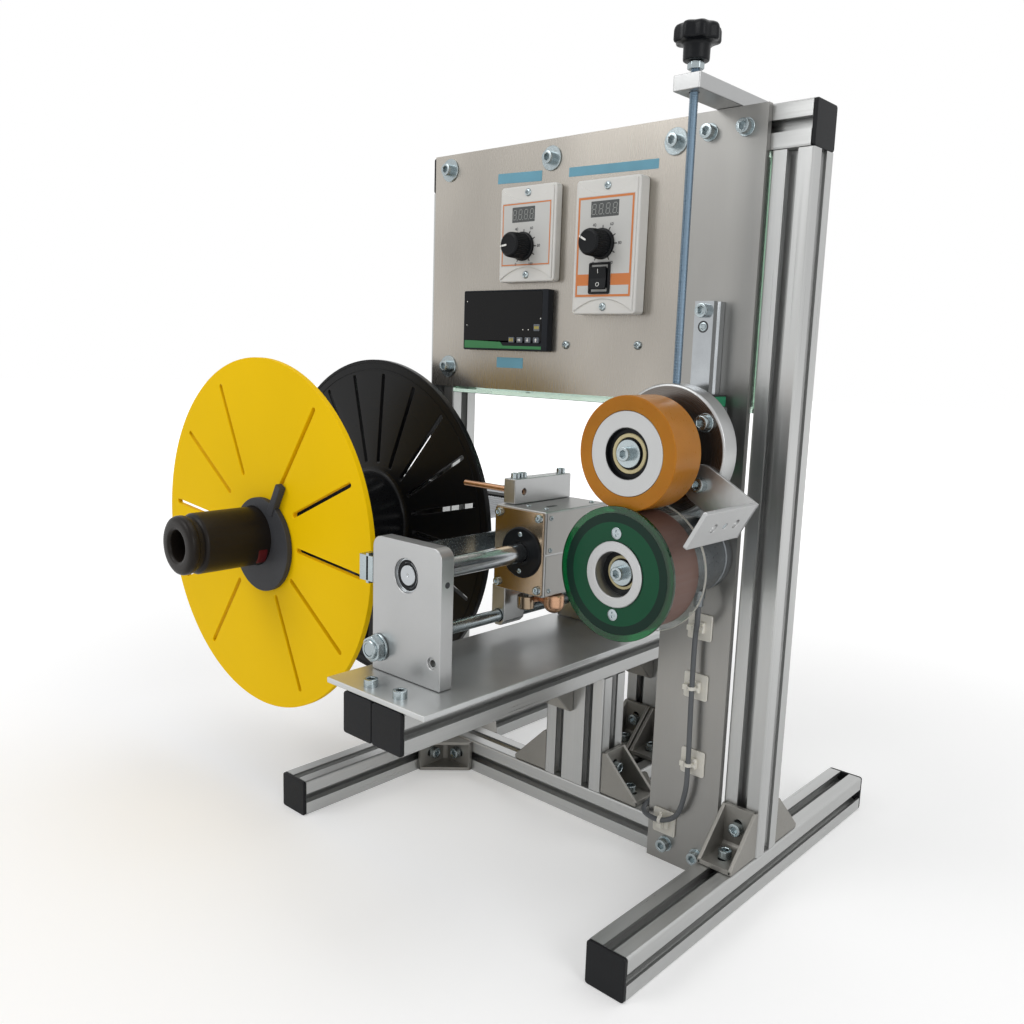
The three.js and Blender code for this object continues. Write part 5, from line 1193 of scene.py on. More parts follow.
SPINDLE_TEETH, SHAFT_TEETH = 50, 40
shaft_rear = sleeve(0, 12, -37, 25.5, CENTRE, "y", 64)
piece("spindle_shaft_steel", shaft_rear, bright_steel, "spindle")
piece("spindle_pulley", pulley(CENTRE, 23.87, SPINDLE_TEETH), milled, "spindle")
SHAFT = SHAFT_X, SHAFT_Z = -3.0, 239.0
AXIS = (SHAFT_X, 0, SHAFT_Z)
shaft_section = [(0, -196.2), (1.2, -197.3), (1.6, -197.5), (6.9, -197.5), (7.5, -196.9), (7.5, 25.5),
                 (0, 25.5)]
piece("traverse_shaft_ground", lathe(shaft_section, AXIS), bright_steel, "traverse_shaft",
      ["traverse_shaft"])
piece("traverse_pulley", pulley(AXIS, 19.1, SHAFT_TEETH), milled, "traverse_shaft")
print("teeth", SPINDLE_TEETH, SHAFT_TEETH)

# %% [markdown]
# The belt is one outline within another. Each follows two arcs and the two straight lines between
# them, and the inner one also swings in by a wave of its own length, which makes the belt's teeth.

# %% Belt
TOOTH_PITCH = 3


def band(start, start_radius, end, end_radius, inner):
    """Two arcs and the two lines that touch both, at equal steps of a sixth of a tooth; the inside
    swings in by 0.9 x the tooth wave of its length. The arcs end where the radii are square to the line."""
    span = np.array(end) - np.array(start)
    gap = np.hypot(*span)
    heading, lean = math.atan2(span[1], span[0]), math.acos((start_radius - end_radius) / gap)
    near = np.linspace(heading + lean, heading + 2 * math.pi - lean, 120)
    far = np.linspace(heading - lean, heading + lean, 90)
    unit_near, unit_far = (np.stack([np.cos(a), np.sin(a)], axis=1) for a in (near, far))
    path = np.concatenate([np.array(start) + start_radius * unit_near, np.array(end) + end_radius * unit_far])
    path = np.concatenate([path, path[:1]])
    length = np.concatenate([[0], np.cumsum(np.hypot(*np.diff(path, axis=0).T))])
    teeth = round(length[-1] / TOOTH_PITCH)
    at = np.linspace(0, length[-1], teeth * 6, endpoint=False)
    line = np.stack([np.interp(at, length, path[:, k]) for k in (0, 1)], axis=1)
    if inner:
        wave = 0.45 + 0.45 * np.tanh(3 * np.cos(2 * math.pi * teeth * at / length[-1]))
        line = line + mitre(line) * wave[:, None]
    return line


outer = band(SPIN, 26.1, SHAFT, 21.3, False)
inner = band(SPIN, 24.9, SHAFT, 20.1, True)
piece("toothed_belt", drawn([outer, inner], 26.6, 39.4, "y", 0), rubber, "frame",
      ["drive_belt"])
print("points of the belt's inside", len(inner))

# %% [markdown]
# ## The drive behind the spool
# A plate on the upright carries the spindle's bearing housing, and four spacers hold the motor's
# plate behind the pulley. The front of the machine hides them, but the rear and the left side show
# every part, so they are as finished as the rest: plates drawn out, housing and spacers turned.

# %% Drive plates
plate_screws = [(-165, 203), (-165, 259)]
PLATE_FRONT = -25.3
drive_loops = [box_outline(-260, -150, 190, 272, 4), circle(22, 64, SPIN)]
drive_plate = drawn(drive_loops, PLATE_FRONT, -15.3, "y", 0.6, 3)
bearing_section = [(12.6, -35), (24.8, -35), (26, -34), (26, -28.2), (25.4, -27.8), (25.4, 11),
                   (24.6, 12), (12.6, 12), (12.6, -35)]
spacer_places = [(SPIN_X + x, SPIN_Z + z) for x in (-35, 30) for z in (-36, 36)]
spacers = [sleeve(0, 5, -15.6, 48.2, (x, 0, z), "y", 32) for x, z in spacer_places]
piece("drive_plates", [drive_plate, lathe(bearing_section, CENTRE), *spacers], milled, "frame",
      ["drive_bracket"])
motor_plate = drawn([circle(56, 144, SPIN), circle(11.3, 48, SPIN)], 48, 54, "y", 0.7, 3)
piece("drive_motor_plate", motor_plate, motor_black, "frame")
drive_bolts = screws(socket_screw(), "-y", *[(x, PLATE_FRONT, z) for x, z in plate_screws])
drive_bolts += screws(socket_screw(4.3, 4.5, 2), "-y", *[(x, PLATE_FRONT, z) for x, z in spacer_places])
drive_bolts += screws(cross_screw(1.6, 0.9), "-y", *[(SPIN_X + x, 48, SPIN_Z) for x in (14, -14)])
piece("drive_screws", drive_bolts, zinc, "frame")
print("spacers", len(spacers))

# %% [markdown]
# The motor's body is an extruded tube with ribs: its radius is 16.5 mm plus a wave that is nearly
# square, once for each rib. Two turned ends close it, the front one stepped down to its plate.

# %% Motor
RIBS = 54
angle = np.linspace(0, 2 * math.pi, RIBS * 8, endpoint=False)
radius = 16.5 + 0.45 * np.tanh(2 * np.cos(RIBS * angle))
ribs = radius[:, None] * np.stack([np.cos(angle), np.sin(angle)], axis=1)
bells = [lathe([(0, 32.6), (5.6, 32.6), (6, 33), (6, 50), (10.6, 50), (11, 50.4), (11, 54.3),
                (16.4, 54.3), (17, 54.9), (17, 62), (16.4, 62.6), (0, 62.6)], CENTRE),
         lathe([(0, 166), (16.4, 166), (17, 166.6), (17, 178.6), (16, 179.8), (15.2, 180), (14.6, 179.4),
                (14.6, 178.2), (5, 178.2), (4.6, 178.8), (4.6, 179.6), (4.2, 180), (0, 180)], CENTRE)]
body = drawn([ribs + [SPIN_X, SPIN_Z]], 62, 167, "y", 0)
piece("ribbed_motor", [*bells, body], motor_case, "frame", ["drive_motor"])
rear_places = [(SPIN_X + 10 * math.cos(a), 178.2, SPIN_Z + 10 * math.sin(a))
               for a in np.radians((45, 135, 225, 315))]
piece("motor_rear_screws", screws(cross_screw(2.0, 1.2), "+y", *rear_places), zinc, "frame")
print("ribs", RIBS)

# %% [markdown]
# ## The traverse
# A ground shaft turns between two blocks. A housing rides on it and is shifted to and fro, led by a
# rod below, and its clamp holds the small tube that the filament runs through. Blocks were milled and
# their corners rounded; the ring in the block's bore is the shaft's bearing.

# %% End blocks
def end_block(front, shows):
    """A plate with round upper corners and three bores; its bearing shows on one face."""
    outline = eased([(-38, 164.6), (32, 164.6), (32, 262.6), (-38, 262.6)], [0.8, 0.8, 8, 8], 8, True)
    bores = [circle(12, 64, SHAFT), circle(5.3, 40, (-30, 182)), circle(4, 40, (24, 183))]
    plate = drawn([outline, *bores], front, front + 12, "y", 0.7, 3)
    near, far = (front + 2.2, front + 12) if shows < 0 else (front, front + 9.8)
    race = lathe([(7.7, near), (9, near), (9.3, near + 0.3), (10.6, near + 0.3), (10.9, near), (12, near),
                  (12, far), (7.7, far), (7.7, near)], AXIS)
    return plate, race


front_block, front_race = end_block(-199, -1)
rear_block, rear_race = end_block(10, 1)
piece("front_block", front_block, milled, "frame", ["front_end_block"])
piece("rear_block", rear_block, milled, "frame", ["rear_end_block"])
piece("block_bearings", [front_race, rear_race], bright_steel, "frame")
clip, seal = sleeve(7.7, 8.9, -197.4, -196.9, AXIS), sleeve(9.2, 10.7, -196.7, -196.4, AXIS)
piece("bearing_clip", [clip, seal], black_knob, "frame")
# Painted shade: a thin black disc on each block's side stands for the dark inside of a bore.
painted_side_hole_shades = [facing(drawn([circle(2.2, 24)], 0, 0.06, "z", 0), "+x", (32, y, 238)) for y in (-193, 16)]
piece("block_side_holes", painted_side_hole_shades, print_and_hole_shade_black, "frame")
inserts = [sleeve(2.6, 4, y, y + 8, (24, 0, 183), "y", 40) for y in (-197.6, 12.4)]
piece("block_inserts", inserts, milled, "frame")
print("side holes", len(painted_side_hole_shades))

# %% [markdown]
# The rod has a thread and a nut at its front end, and the stop strip runs beside the shaft between
# two small blocks. All of it stands on a plate that four screws hold to the two beams.

# %% Rod, stop strip and deck
rod = [sleeve(0, 5, -199, 22, (-30, 0, 182), "y", 48),
       moved(thread(4.9, -209.1, -198.9, 1.25, "y", 24), -30, 0, 182)]
rod += screws(washer(10, 5.3, 2), "-y", (-30, -199.3, 182))
rod += screws(hex_nut(17, 6, 4.9, 2), "-y", (-30, -201.3, 182))
piece("guide_rod_bar", rod, zinc, "frame", ["guide_rod"])
strip = [bar((-46, -43), (-199, 22), (226, 248), 0.5)]
strip += [bar((-53.3, -38.3), (y, y + 12), (227.5, 246.5), 0.8) for y in (-199, 10)]
piece("stop_strip_bar", strip, zinc, "frame", ["stop_strip"])
deck = bar((-45, 55), (-234, 38), (160.3, 164.3), 0.7, "z", 1.0, 3)
piece("base_plate_deck", deck, base_metal, "frame", ["base_plate"])
deck_screws = screws(socket_screw(5, 5.5), "+z", *[(x, y, 164.3) for y in (-223, 30) for x in (-10, 20)])
piece("deck_screws", deck_screws, zinc, "frame")
print("deck screws", len(deck_screws))

# %% [markdown]
# ## The traverse housing
# A milled box with a lacquered cover plate in front, a black bearing cap round the shaft, two sheets
# on its right side with a gap between them, and one on top. The sheets are half a millimetre thick:
# as a paint on the box they would lose the gap's shadow, which is what tells two sheets from one.

# %% Housing
BOX_X, BOX_Y, BOX_Z = (-32.95, 18.55), (-78, 0), (206, 273)
housing_outline = box_outline(*BOX_X, *BOX_Z, 1.2)
block = drawn([housing_outline, circle(7.9, 48, SHAFT)], *BOX_Y, "y", 0.6, 3)
lug_outline = eased([(-37, 207), (-37, 178), (-33, 174), (-27, 174), (-23, 178), (-23, 207)],
                    [0, 2, 2, 2, 2, 0], 4, True)
lug = drawn([lug_outline, circle(5.4, 40, (-30, 182))], -76, -52, "y", 0.6, 3)
piece("traverse_box_block", [block, lug], milled, "traverse_box", ["traverse_housing"])
cover = drawn([box_outline(-31.95, 17.55, 207, 272, 2), circle(16, 64, SHAFT)], -80, -78, "y", 0.4, 3)
piece("traverse_cover", cover, bronze_cover, "traverse_box")
cap_section = [(7.9, -82), (9.4, -82), (9.8, -81.7), (10.6, -81.7), (11, -82), (18.9, -82), (20, -81),
               (20, -80), (7.9, -80), (7.9, -82)]
piece("traverse_bearing_cap", lathe(cap_section, AXIS), black_knob, "traverse_box")
box_screws = screws(cross_screw(2.1, 1.2), "-y", *[(SHAFT_X, -82, SHAFT_Z + z) for z in (14.5, -14.5)])
corners = [(x, -80, z) for x in (-27.5, 14) for z in (211.7, 267.8)]
box_screws += screws(socket_screw(3.3, 2.4, 1.25), "-y", *corners)
box_screws += screws(cross_screw(2.0, 1.1), "+z", (9.5, -67, 273.3), (-9, -67, 273.3), (9.5, -10, 273.3))
sheets = [bar((18.55, 19.05), (-76.5, -1.5), (240, 272), 0.15, "x", 0.6),
          bar((18.55, 18.95), (-76.5, -1.5), (207, 238.6), 0.15, "x", 0.6)]
sheets.append(bar((-16, 17.5), (-76.5, -1.5), (273, 273.25), 0.1, "z", 0.6))
piece("traverse_side_sheets", sheets, plate_sheet, "traverse_box")
sheet_places = [(x, y, z) for x, z in ((19.05, 268), (19.05, 243), (18.95, 211)) for y in (-72, -6)]
box_screws += screws(cross_screw(1.9, 1.0), "+x", *sheet_places)
# Painted shade: the top sheet's slot is a thin black mark for its dark inside.
painted_slot_shade = drawn([slot((2.5, -52), 12, 4.5, 90, 4)], 273.25, 273.32, "z", 0)
piece("traverse_top_slot_painted_shade", painted_slot_shade, print_and_hole_shade_black, "traverse_box")
print("sheets", len(sheets))

# %% [markdown]
# On top of the housing a milled bar clamps the copper tube that the filament runs through. The tube
# is a section turned round its own axis, open at both ends, with a wall of 1.1 mm.

# %% Clamp and tube
clamp_loops = [box_outline(-71, -1.5, 273.3, 293.3, 0.8), circle(2.6, 32, (-60, 282.6))]
clamp = drawn(clamp_loops, -31.95, -19.95, "x", 0.6, 3)
piece("tube_clamp_bar", clamp, milled, "traverse_box", ["tube_clamp"])
box_screws += screws(socket_screw(3.6, 4.2, 1.6), "+z", *[(-25.95, y, 293.3) for y in (-64.6, -56.2, -8)])
piece("traverse_box_screws", box_screws, zinc, "traverse_box")
tube_section = [(1.4, -22), (2.3, -22), (2.5, -22.2), (2.5, -85.8), (2.3, -86), (1.5, -86), (1.4, -85.8),
                (1.4, -22)]
piece("copper_tube", lathe(tube_section, (0, -60, 282.6), "x", 32), copper, "traverse_box",
      ["guide_tube"])
print("housing's screws", len(box_screws))

# %% [markdown]
# ## Reversing lever
# Under the housing a small lever tips to turn the feed round: two flat copper arms on one pin, one
# with a domed foot and the other with a roller. Each arm is the outline that a belt round two discs
# would take, so the belt's own function draws it.

# %% Reversing lever
def lever_arm(end, radius):
    """The outline round two discs, from the pivot to the arm's end, as a flat bar."""
    line = band((0, 0), 8, end, radius, False)
    return moved(drawn([line[::4]], 195.7, 200.7, "z", 0.5), -8, -45, 0)


lever = [lever_arm((23, -15), 6.4), lever_arm((-2, -20), 5.6)]
lever.append(sleeve(0, 3, 195, 211, (-8, -45, 0), "z", 32))
dome = [(8 * math.sin(a), 197.5 - 6.8 * math.cos(a)) for a in np.radians(np.linspace(0, 90, 10))]
lever.append(lathe([*dome, (8, 204.9), (7.2, 205.7), (0, 205.7)], (15, -60, 0), "z", 48))
piece("reversing_lever_arms", lever, copper, "reversing_lever", ["reversing_lever"])
roller = lathe([(2, 190.3), (6.3, 190.3), (7, 191), (7, 200.4), (6.3, 201.1), (2, 201.1), (2, 190.3)],
               (-10, -65, 0), "z", 48)
piece("reversing_roller", roller, bronze_cover, "reversing_lever")
pin = sleeve(0, 2, 190.1, 203, (-10, -65, 0), "z", 24)
piece("reversing_pin", pin, dark_steel, "reversing_lever")
print("lever's shapes", len(lever))

# %% [markdown]
# ## Press bar, screw and knob
# On top a bar reaches forwards; its screw pushes the press roller down. The screw's thread is a real
# helix, because it is long and stands in front of a plain plate. A thin nut locks the knob on it.
# The knob's lobes are a cosine taken off the radius, which fades out towards the crown and the stem.

# %% Press bar and screw
PRESS_X, SCREW_Y = 118.5, -64.9
bar_outline = box_outline(108.5, 128.5, -75, 15, 0.8)
press_bar = drawn([bar_outline, circle(3.5, 40, (PRESS_X, SCREW_Y))], 560.3, 570.3, "z", 0.6, 3)
piece("press_bar_block", press_bar, milled, "frame", ["pressure_bar"])
piece("press_thread", moved(thread(3, 367, 580), PRESS_X, SCREW_Y, 0), screw_rod, "pressure_screw",
      ["pressure_screw"], 80)
piece("press_lock_nut", moved(hex_nut(9.4, 4.8, 2.9), PRESS_X, SCREW_Y, 574.3), zinc, "pressure_screw")


LOBES, LOBE_DEPTH = 8, 1.8


def lobed_knob(x, y, bottom):
    """Radius = section - depth x share x (1 - cos(lobes x t)) / 2; the share is 1 on the head's side."""
    section = np.array([
        (0, 0, 0), (7.9, 0, 0), (8.4, 0.4, 0), (8.6, 1.2, 0), (8.7, 8.4, 0), (9.2, 9.8, 0), (10.2, 10.7, 0.2),
        (12.4, 11, 0.5), (14.3, 11.1, 0.9), (15.1, 11.6, 1), (15.5, 12.6, 1), (15.4, 18, 1), (14.9, 19.8, 1),
        (13.9, 21.1, 1), (12.4, 21.8, 0.8), (10.4, 22, 0.4), (7.4, 22, 0), (7, 21.6, 0), (0, 21.6, 0),
    ])
    angle = np.linspace(0, 2 * math.pi, LOBES * 18 + 1)[None]
    reach = section[:, :1] - LOBE_DEPTH * section[:, 2:] * (1 - np.cos(LOBES * angle)) / 2
    knob = surface(on_axis(reach * np.cos(angle), reach * np.sin(angle), section[:, 1:2], "z"))
    return moved(knob, x, y, bottom)


piece("press_knob", lobed_knob(PRESS_X, SCREW_Y, 579.4), black_knob, "pressure_screw",
      ["pressure_knob"], 50)
print("lobes", LOBES)

# %% [markdown]
# ## Rail and carriage
# The carriage is a steel block between two green end caps with thin black seals. It runs on a ground
# rail that is fixed through round holes. The block's outline, with the groove that the rail runs in,
# is drawn out along the rail, and each corner gets its own radius.

# %% Rail and carriage
rail_holes = [(PRESS_X, -35.6, z) for z in (413.5, 353.5, 293.5)]
rail_bolts = screws(socket_screw(5, 5, 2.5), "-y", (PRESS_X, -35.6, 424.5))
rail_bolts += screws(socket_screw(3.1, 0.3, 1.5), "-y", *rail_holes)
piece("rail_screws", rail_bolts, zinc, "frame")
# Painted shade: a thin black ring round each low screw stands for the dark gap of its hole.
painted_hole_shade_rims = screws(washer(4.1, 3.1, 0.12), "-y", *rail_holes)
piece("rail_hole_rims", painted_hole_shade_rims, print_and_hole_shade_black, "frame")

CAR_Z = (318, 359)
core = [(-23.5, -44.6), (23.5, -44.6), (23.5, -35.6), (17, -35.6), (17, -24.9), (8.2, -24.9),
        (8.2, -36.3), (-8.2, -36.3), (-8.2, -24.9), (-17, -24.9), (-17, -35.6), (-23.5, -35.6)]
core = eased(np.array(core) + [PRESS_X, 0], [0.8, 0.8, 0.8, 0.5, 0.8, 0.3, 0.3, 0.3, 0.3, 0.8, 0.5, 0.8],
             3, True)
piece("carriage_core", drawn([core], *CAR_Z, "z", 0.5, 3), dark_steel, "press_carriage",
      ["press_carriage"])
end = [(-16, -44.2), (16, -44.2), (16, -25.2), (8.2, -25.2), (8.2, -36.3), (-8.2, -36.3), (-8.2, -25.2),
       (-16, -25.2)]
end = eased(np.array(end) + [PRESS_X, 0], [1.6, 1.6, 0.8, 0.3, 0.3, 0.3, 0.3, 0.8], 3, True)
piece("carriage_caps", [drawn([end], 310.9, 318, "z", 0.5, 3), drawn([end], 359, 366.1, "z", 0.5, 3)],
      green_seal, "press_carriage")
piece("carriage_seals", [drawn([end], 310, 310.9, "z", 0.1), drawn([end], 366.1, 367, "z", 0.1)], rubber,
      "press_carriage")
print("rail's holes", len(rail_holes))

# %% [markdown]
# ## The thick disc
# The disc in front of the carriage carries the roller's axle. Its rim and back are bright and its
# front is darker, with rings left by the lathe, so the front is a thin skin of a finish of its own:
# a finish belongs to a whole piece here, and splitting the faces by place would be harder to change.

# %% Disc and axle
PRESS_Z, METER_Z = 329.7, 251.0
PRESS_AXIS, METER_AXIS = (PRESS_X, 0, PRESS_Z), (PRESS_X, 0, METER_Z)
disc_section = [(0, -89.3), (8.4, -89.3), (9, -88.7), (9, -72.9), (43.2, -72.9), (44.4, -72.5),
                (45, -71.6), (45, -58.1), (44.4, -57.2), (43.2, -56.9), (17, -56.9), (17, -44.9),
                (0, -44.9)]
piece("press_disc_turned", lathe(disc_section, PRESS_AXIS, "y", 128), milled, "press_carriage",
      ["press_disc"])
skin = sleeve(9.2, 43.1, -73, -72.8, PRESS_AXIS, "y", 128)
piece("press_disc_front", skin, disc_metal, "press_carriage")
axle = sleeve(0, 7.4, -117, -88, PRESS_AXIS, "y", 48)
piece("press_axle", axle, bright_steel, "press_carriage")
disc_bolts = screws(washer(6.3, 3.2, 0.9), "-y", (147.4, -72.9, 350.2))
disc_bolts += screws(socket_screw(), "-y", (147.4, -73.8, 350.2), (148.9, -76.2, 309.6), (89.6, -72.9, 350.2))
disc_bolts += screws(washer(9.3, 3.2, 1.2), "-y", (PRESS_X, -116.7, PRESS_Z))
disc_bolts += screws(socket_screw(4.7, 5.8, 2.4), "-y", (PRESS_X, -117.9, PRESS_Z))
piece("press_disc_screws", disc_bolts, zinc, "press_carriage")
print("disc's screws and washers", len(disc_bolts))

# %% [markdown]
# ## Thread guide bracket
# A folded strip: one leg is screwed to the disc and slopes down to the right, and its end turns
# forwards with two holes and a small screw. It is drawn lying level and then turned by its slope.

# %% Thread guide bracket
PIVOT, SLOPE = (148.9, -73.2, 309.6), 29.4
HALF_STRIP = 13.5
half_turn = np.linspace(math.pi / 2, -math.pi / 2, 17)
leg_line = [(-HALF_STRIP * math.cos(a), HALF_STRIP * math.sin(a)) for a in half_turn]
leg_line = np.array(leg_line + [(40, -HALF_STRIP), (40, HALF_STRIP)])
guide_leg = drawn([leg_line, circle(3.2, 24)], -3, 0, "y", 0.4, 3)
FIRST_HOLE, SECOND_HOLE = -43.2, -16.2
eye_place = (FIRST_HOLE + SECOND_HOLE) / 2
holes = [circle(3.2, 32, (y, 0)) for y in (FIRST_HOLE, SECOND_HOLE)] + [circle(2.2, 32, (eye_place, 0))]
guide_flange = drawn([box_outline(-63, -0.2, -HALF_STRIP, HALF_STRIP, 1.2), *holes], 37, 40, "x", 0.45, 3)
pin = facing(polar([(0, -2.6), (2.1, -2.6), (2.1, 0.3), (1.8, 0.6), (hexagon(1.0) + 0.1, 0.6),
                    (hexagon(1.0), 0.5), (hexagon(1.0), -0.4), (0, -0.4)], 36), "-x", (37, eye_place, 0))
bend = [moved(turned(part, "y", SLOPE), *PIVOT) for part in (guide_leg, guide_flange)]
piece("thread_guide", bend, milled, "press_carriage", ["thread_guide_bracket"])
piece("thread_guide_pin", moved(turned(pin, "y", SLOPE), *PIVOT), zinc, "press_carriage")
print("guide's slope in degrees", SLOPE)

# %% [markdown]
# ## The two wheels
# The press roller has a thick amber tyre with a flat front; the metering wheel has a thin
# brown tyre between two clear plates, the front one green. Both turn on ball bearings, whose pale
# seals show in a recess round the screw. Every piece is turned, so each is a section.

# %% Press roller
hub_section = [(9.5, -115), (16.8, -115), (16.8, -119.2), (17.2, -119.6), (27.5, -119.6), (27.8, -119.3),
               (27.8, -89.6), (9.5, -89.6), (9.5, -115)]
piece("press_hub_turned", lathe(hub_section, PRESS_AXIS), press_ring, "press_roller",
      ["press_roller_hub"])
front_round = [(36.9 + 0.8 * math.cos(a), -118.8 + 0.8 * math.sin(a))
               for a in np.radians(np.linspace(-90, 0, 7))]
tyre_section = [(28, -90), (28, -119.3), (28.3, -119.6), *front_round, (37.7, -90.6), (37.4, -89.9),
                (36.8, -89.6), (28.2, -89.6), (28, -90)]
piece("amber_tyre_turned", lathe(tyre_section, PRESS_AXIS, "y", 128), amber, "press_roller",
      ["press_roller_tyre"])


def bearing(axis, face, inner, seal_in, seal_out, outer, lining, body):
    """A black race lies between two radii, a cream seal ring stands in it, and the recess's wall is lined
    black up to a place in front of the race."""
    race = [(inner, face + 2), (inner, face + 0.3), (inner + 0.3, face), (seal_in - 0.4, face),
            (seal_in - 0.1, face + 0.6), (seal_out + 0.1, face + 0.6), (seal_out + 0.4, face),
            (outer - 0.6, face), (outer - 0.4, lining), (outer, lining), (outer, face + 2),
            (inner, face + 2)]
    piece(f"{body}_bearing", lathe(race, axis), black_knob, body)
    seal = [(seal_in, face + 0.8), (seal_in, face + 0.1), (seal_in + 0.3, face - 0.2),
            (seal_out - 0.3, face - 0.2), (seal_out, face + 0.1), (seal_out, face + 0.8),
            (seal_in, face + 0.8)]
    piece(f"{body}_bearing_seal", lathe(seal, axis), cream_seal, body)


bearing(PRESS_AXIS, -116, 7.6, 10.6, 13.2, 16.7, -119, "press_roller")
print("points of the tyre's section", len(tyre_section))

# %% [markdown]
# Through the green plate the bright hub and the dark tyre show as two tones of green. The clear solid
# alone gives them too faintly, so two thin rings on the plate's front carry the two tones as painted
# shade, standing in for the look through the sheet. The rear plate is clear, and its cut rim is frosted
# white.

# %% Metering wheel
meter_hub_section = [(8, -116), (15.1, -116), (15.1, -126.5), (15.6, -127), (21.5, -127), (22, -126.5),
                     (22, -122.1), (36.4, -122), (36.4, -88), (14, -88), (14, -85), (8, -85), (8, -116)]
piece("meter_hub_turned", lathe(meter_hub_section, METER_AXIS), meter_ring, "meter_wheel",
      ["meter_hub"])
brown_section = [(36.6, -121.8), (40.2, -121.8), (40.7, -121.3), (40.7, -88.7), (40.2, -88.2),
                 (36.6, -88.2), (36.6, -121.8)]
piece("brown_tyre_turned", lathe(brown_section, METER_AXIS, "y", 128), brown_tyre, "meter_wheel",
      ["meter_tyre"])
# Two thin rings of painted shade on the green plate's front, one over the hub and one over the tyre.
for name, look, inner, outer in (("hub", painted_shade_green_over_hub, 22.2, 34.5), ("tyre", painted_shade_green_over_tyre, 34.5, 40.4)):
    tone = sleeve(inner, outer, -125.3, -125.15, METER_AXIS, "y", 128)
    piece(f"flange_painted_shade_over_{name}", tone, look, "meter_wheel")


def clear_disc(front, back, inner):
    """A clear plate whose two rims are polished round by 0.5 mm."""
    rim, e, half_way = 45, 0.5, 0.15
    section = [(inner, front), (rim - e, front), (rim - half_way, front + half_way), (rim, front + e),
               (rim, back - e), (rim - half_way, back - half_way), (rim - e, back), (inner, back),
               (inner, front)]
    return lathe(section, METER_AXIS, "y", 128)


piece("green_flange", clear_disc(-125.2, -122.4, 22.2), green_sheet, "meter_wheel",
      ["meter_flange_front"])
piece("clear_flange", clear_disc(-87.8, -85, 14.3), clear_sheet, "meter_wheel",
      ["meter_flange_rear"])
frosted = sleeve(44.5, 45, -87.3, -85.5, METER_AXIS, "y", 128)
piece("clear_flange_rim", frosted, tie_nylon, "meter_wheel")
flange_places = [(PRESS_X, -125.3, METER_Z + step) for step in (27.3, -27.3)]
wheel_bolts = screws(cross_screw(3.9, 0.8, True), "-y", *flange_places)
wheel_bolts += screws(washer(8.7, 3.2, 1.2), "-y", (PRESS_X, -117.6, METER_Z))
wheel_bolts += screws(socket_screw(4.7, 5.8, 2.4), "-y", (PRESS_X, -118.8, METER_Z))
piece("meter_wheel_screws", wheel_bolts, zinc, "meter_wheel")
bearing(METER_AXIS, -117, 7.4, 9.4, 11.4, 15.1, -117.2, "meter_wheel")
print("metering wheel's screws and washers", len(wheel_bolts))

# %% [markdown]
# ## Encoder
# Behind the metering wheel sits its encoder: a round grey metal case, fixed to the plate, whose
# shaft carries the wheel. The case is one section turned round the wheel's axis, with a shallow
# groove where its lid meets it, and the cable leaves it downwards through a small gland.

# %% Encoder
shaft_end = [(0, -116.2), (3.8, -116.2), (4, -116), (4, -82.5)]
case_section = [*shaft_end, (9, -82.5), (9.6, -82), (9.6, -81.2), (25.6, -81.2), (27, -79.9), (27, -31),
                (26.3, -30.4), (26.3, -28.6), (27, -28), (27, -21.2), (26.4, -20.6), (0, -20.6)]
gland = lathe([(0, 216.6), (2.9, 216.6), (3.5, 217.2), (3.5, 223), (4.4, 223.2), (4.4, 229), (0, 229)],
              (132, -40, 0), "z", 32)
# The case takes the dark steel: its dark grey is given the tone of the shaded plate behind the wheel, painted
# shade on the case.
piece("encoder_case", [lathe(case_section, METER_AXIS), gland], dark_steel, "frame",
      ["encoder"])
case_screws = [(PRESS_X + 21 * math.cos(a), -81.2, METER_Z + 21 * math.sin(a))
               for a in np.radians((30, 150, 270))]
piece("encoder_screws", screws(cross_screw(1.6, 0.9), "-y", *case_screws), zinc, "frame")
print("encoder's screws", len(case_screws))

# %% [markdown]
# ## Encoder cable
# A thin grey cable, held by four ties all the way down the plate, then led behind it and up into the
# cover. Its route is a short list of places; between them runs a centripetal Catmull-Rom curve, which
# never overshoots where places lie close. Round the curve goes a ring of twelve points.

# %% Cable
ROUTE = [(132, -40, 216.3), (132, -39.8, 210), (130, -36.5, 202), (126, -30.5, 195), (124, -27.8, 184),
         (124, -27.7, 150), (124.5, -27.7, 120), (125, -27.7, 90), (124, -27.7, 66), (117, -27.7, 45),
         (104, -27.7, 37), (91, -26, 36), (83, -20, 36), (80, -11, 36.5), (83, -4, 42), (91, -6, 54),
         (95, -11.5, 70), (95, -12.5, 85), (95, -12.5, 105), (95, -12.5, 170), (95, -12.5, 240),
         (95, -12.5, 295), (95, -12.3, 312), (95, -8, 326), (95, 0, 337), (95, 2, 346), (95, 2, 362)]


def smooth_route(places, steps=9):
    """Between two places the curve is a cubic. Its end slopes weigh the chords on both sides by the
    square root of their length, and it is summed from the four cubic blends of ends and slopes."""
    p = np.array(places, float)
    p = np.vstack([2 * p[0] - p[1], p, 2 * p[-1] - p[-2]])
    gap = np.sqrt(np.linalg.norm(np.diff(p, axis=0), axis=1))[:, None]
    before, here, after = gap[:-2], gap[1:-1], gap[2:]
    p0, p1, p2, p3 = p[:-3], p[1:-2], p[2:-1], p[3:]
    leave = ((p1 - p0) / before - (p2 - p0) / (before + here) + (p2 - p1) / here) * here
    arrive = ((p2 - p1) / here - (p3 - p1) / (here + after) + (p3 - p2) / after) * here
    t = np.linspace(0, 1, steps, endpoint=False)[None, :, None]
    blends = (2 * t ** 3 - 3 * t ** 2 + 1, t ** 3 - 2 * t ** 2 + t, 3 * t ** 2 - 2 * t ** 3, t ** 3 - t ** 2)
    curve = sum(blend * value[:, None] for blend, value in zip(blends, (p1, leave, p2, arrive)))
    return np.vstack([curve.reshape(-1, 3), p[-2]])


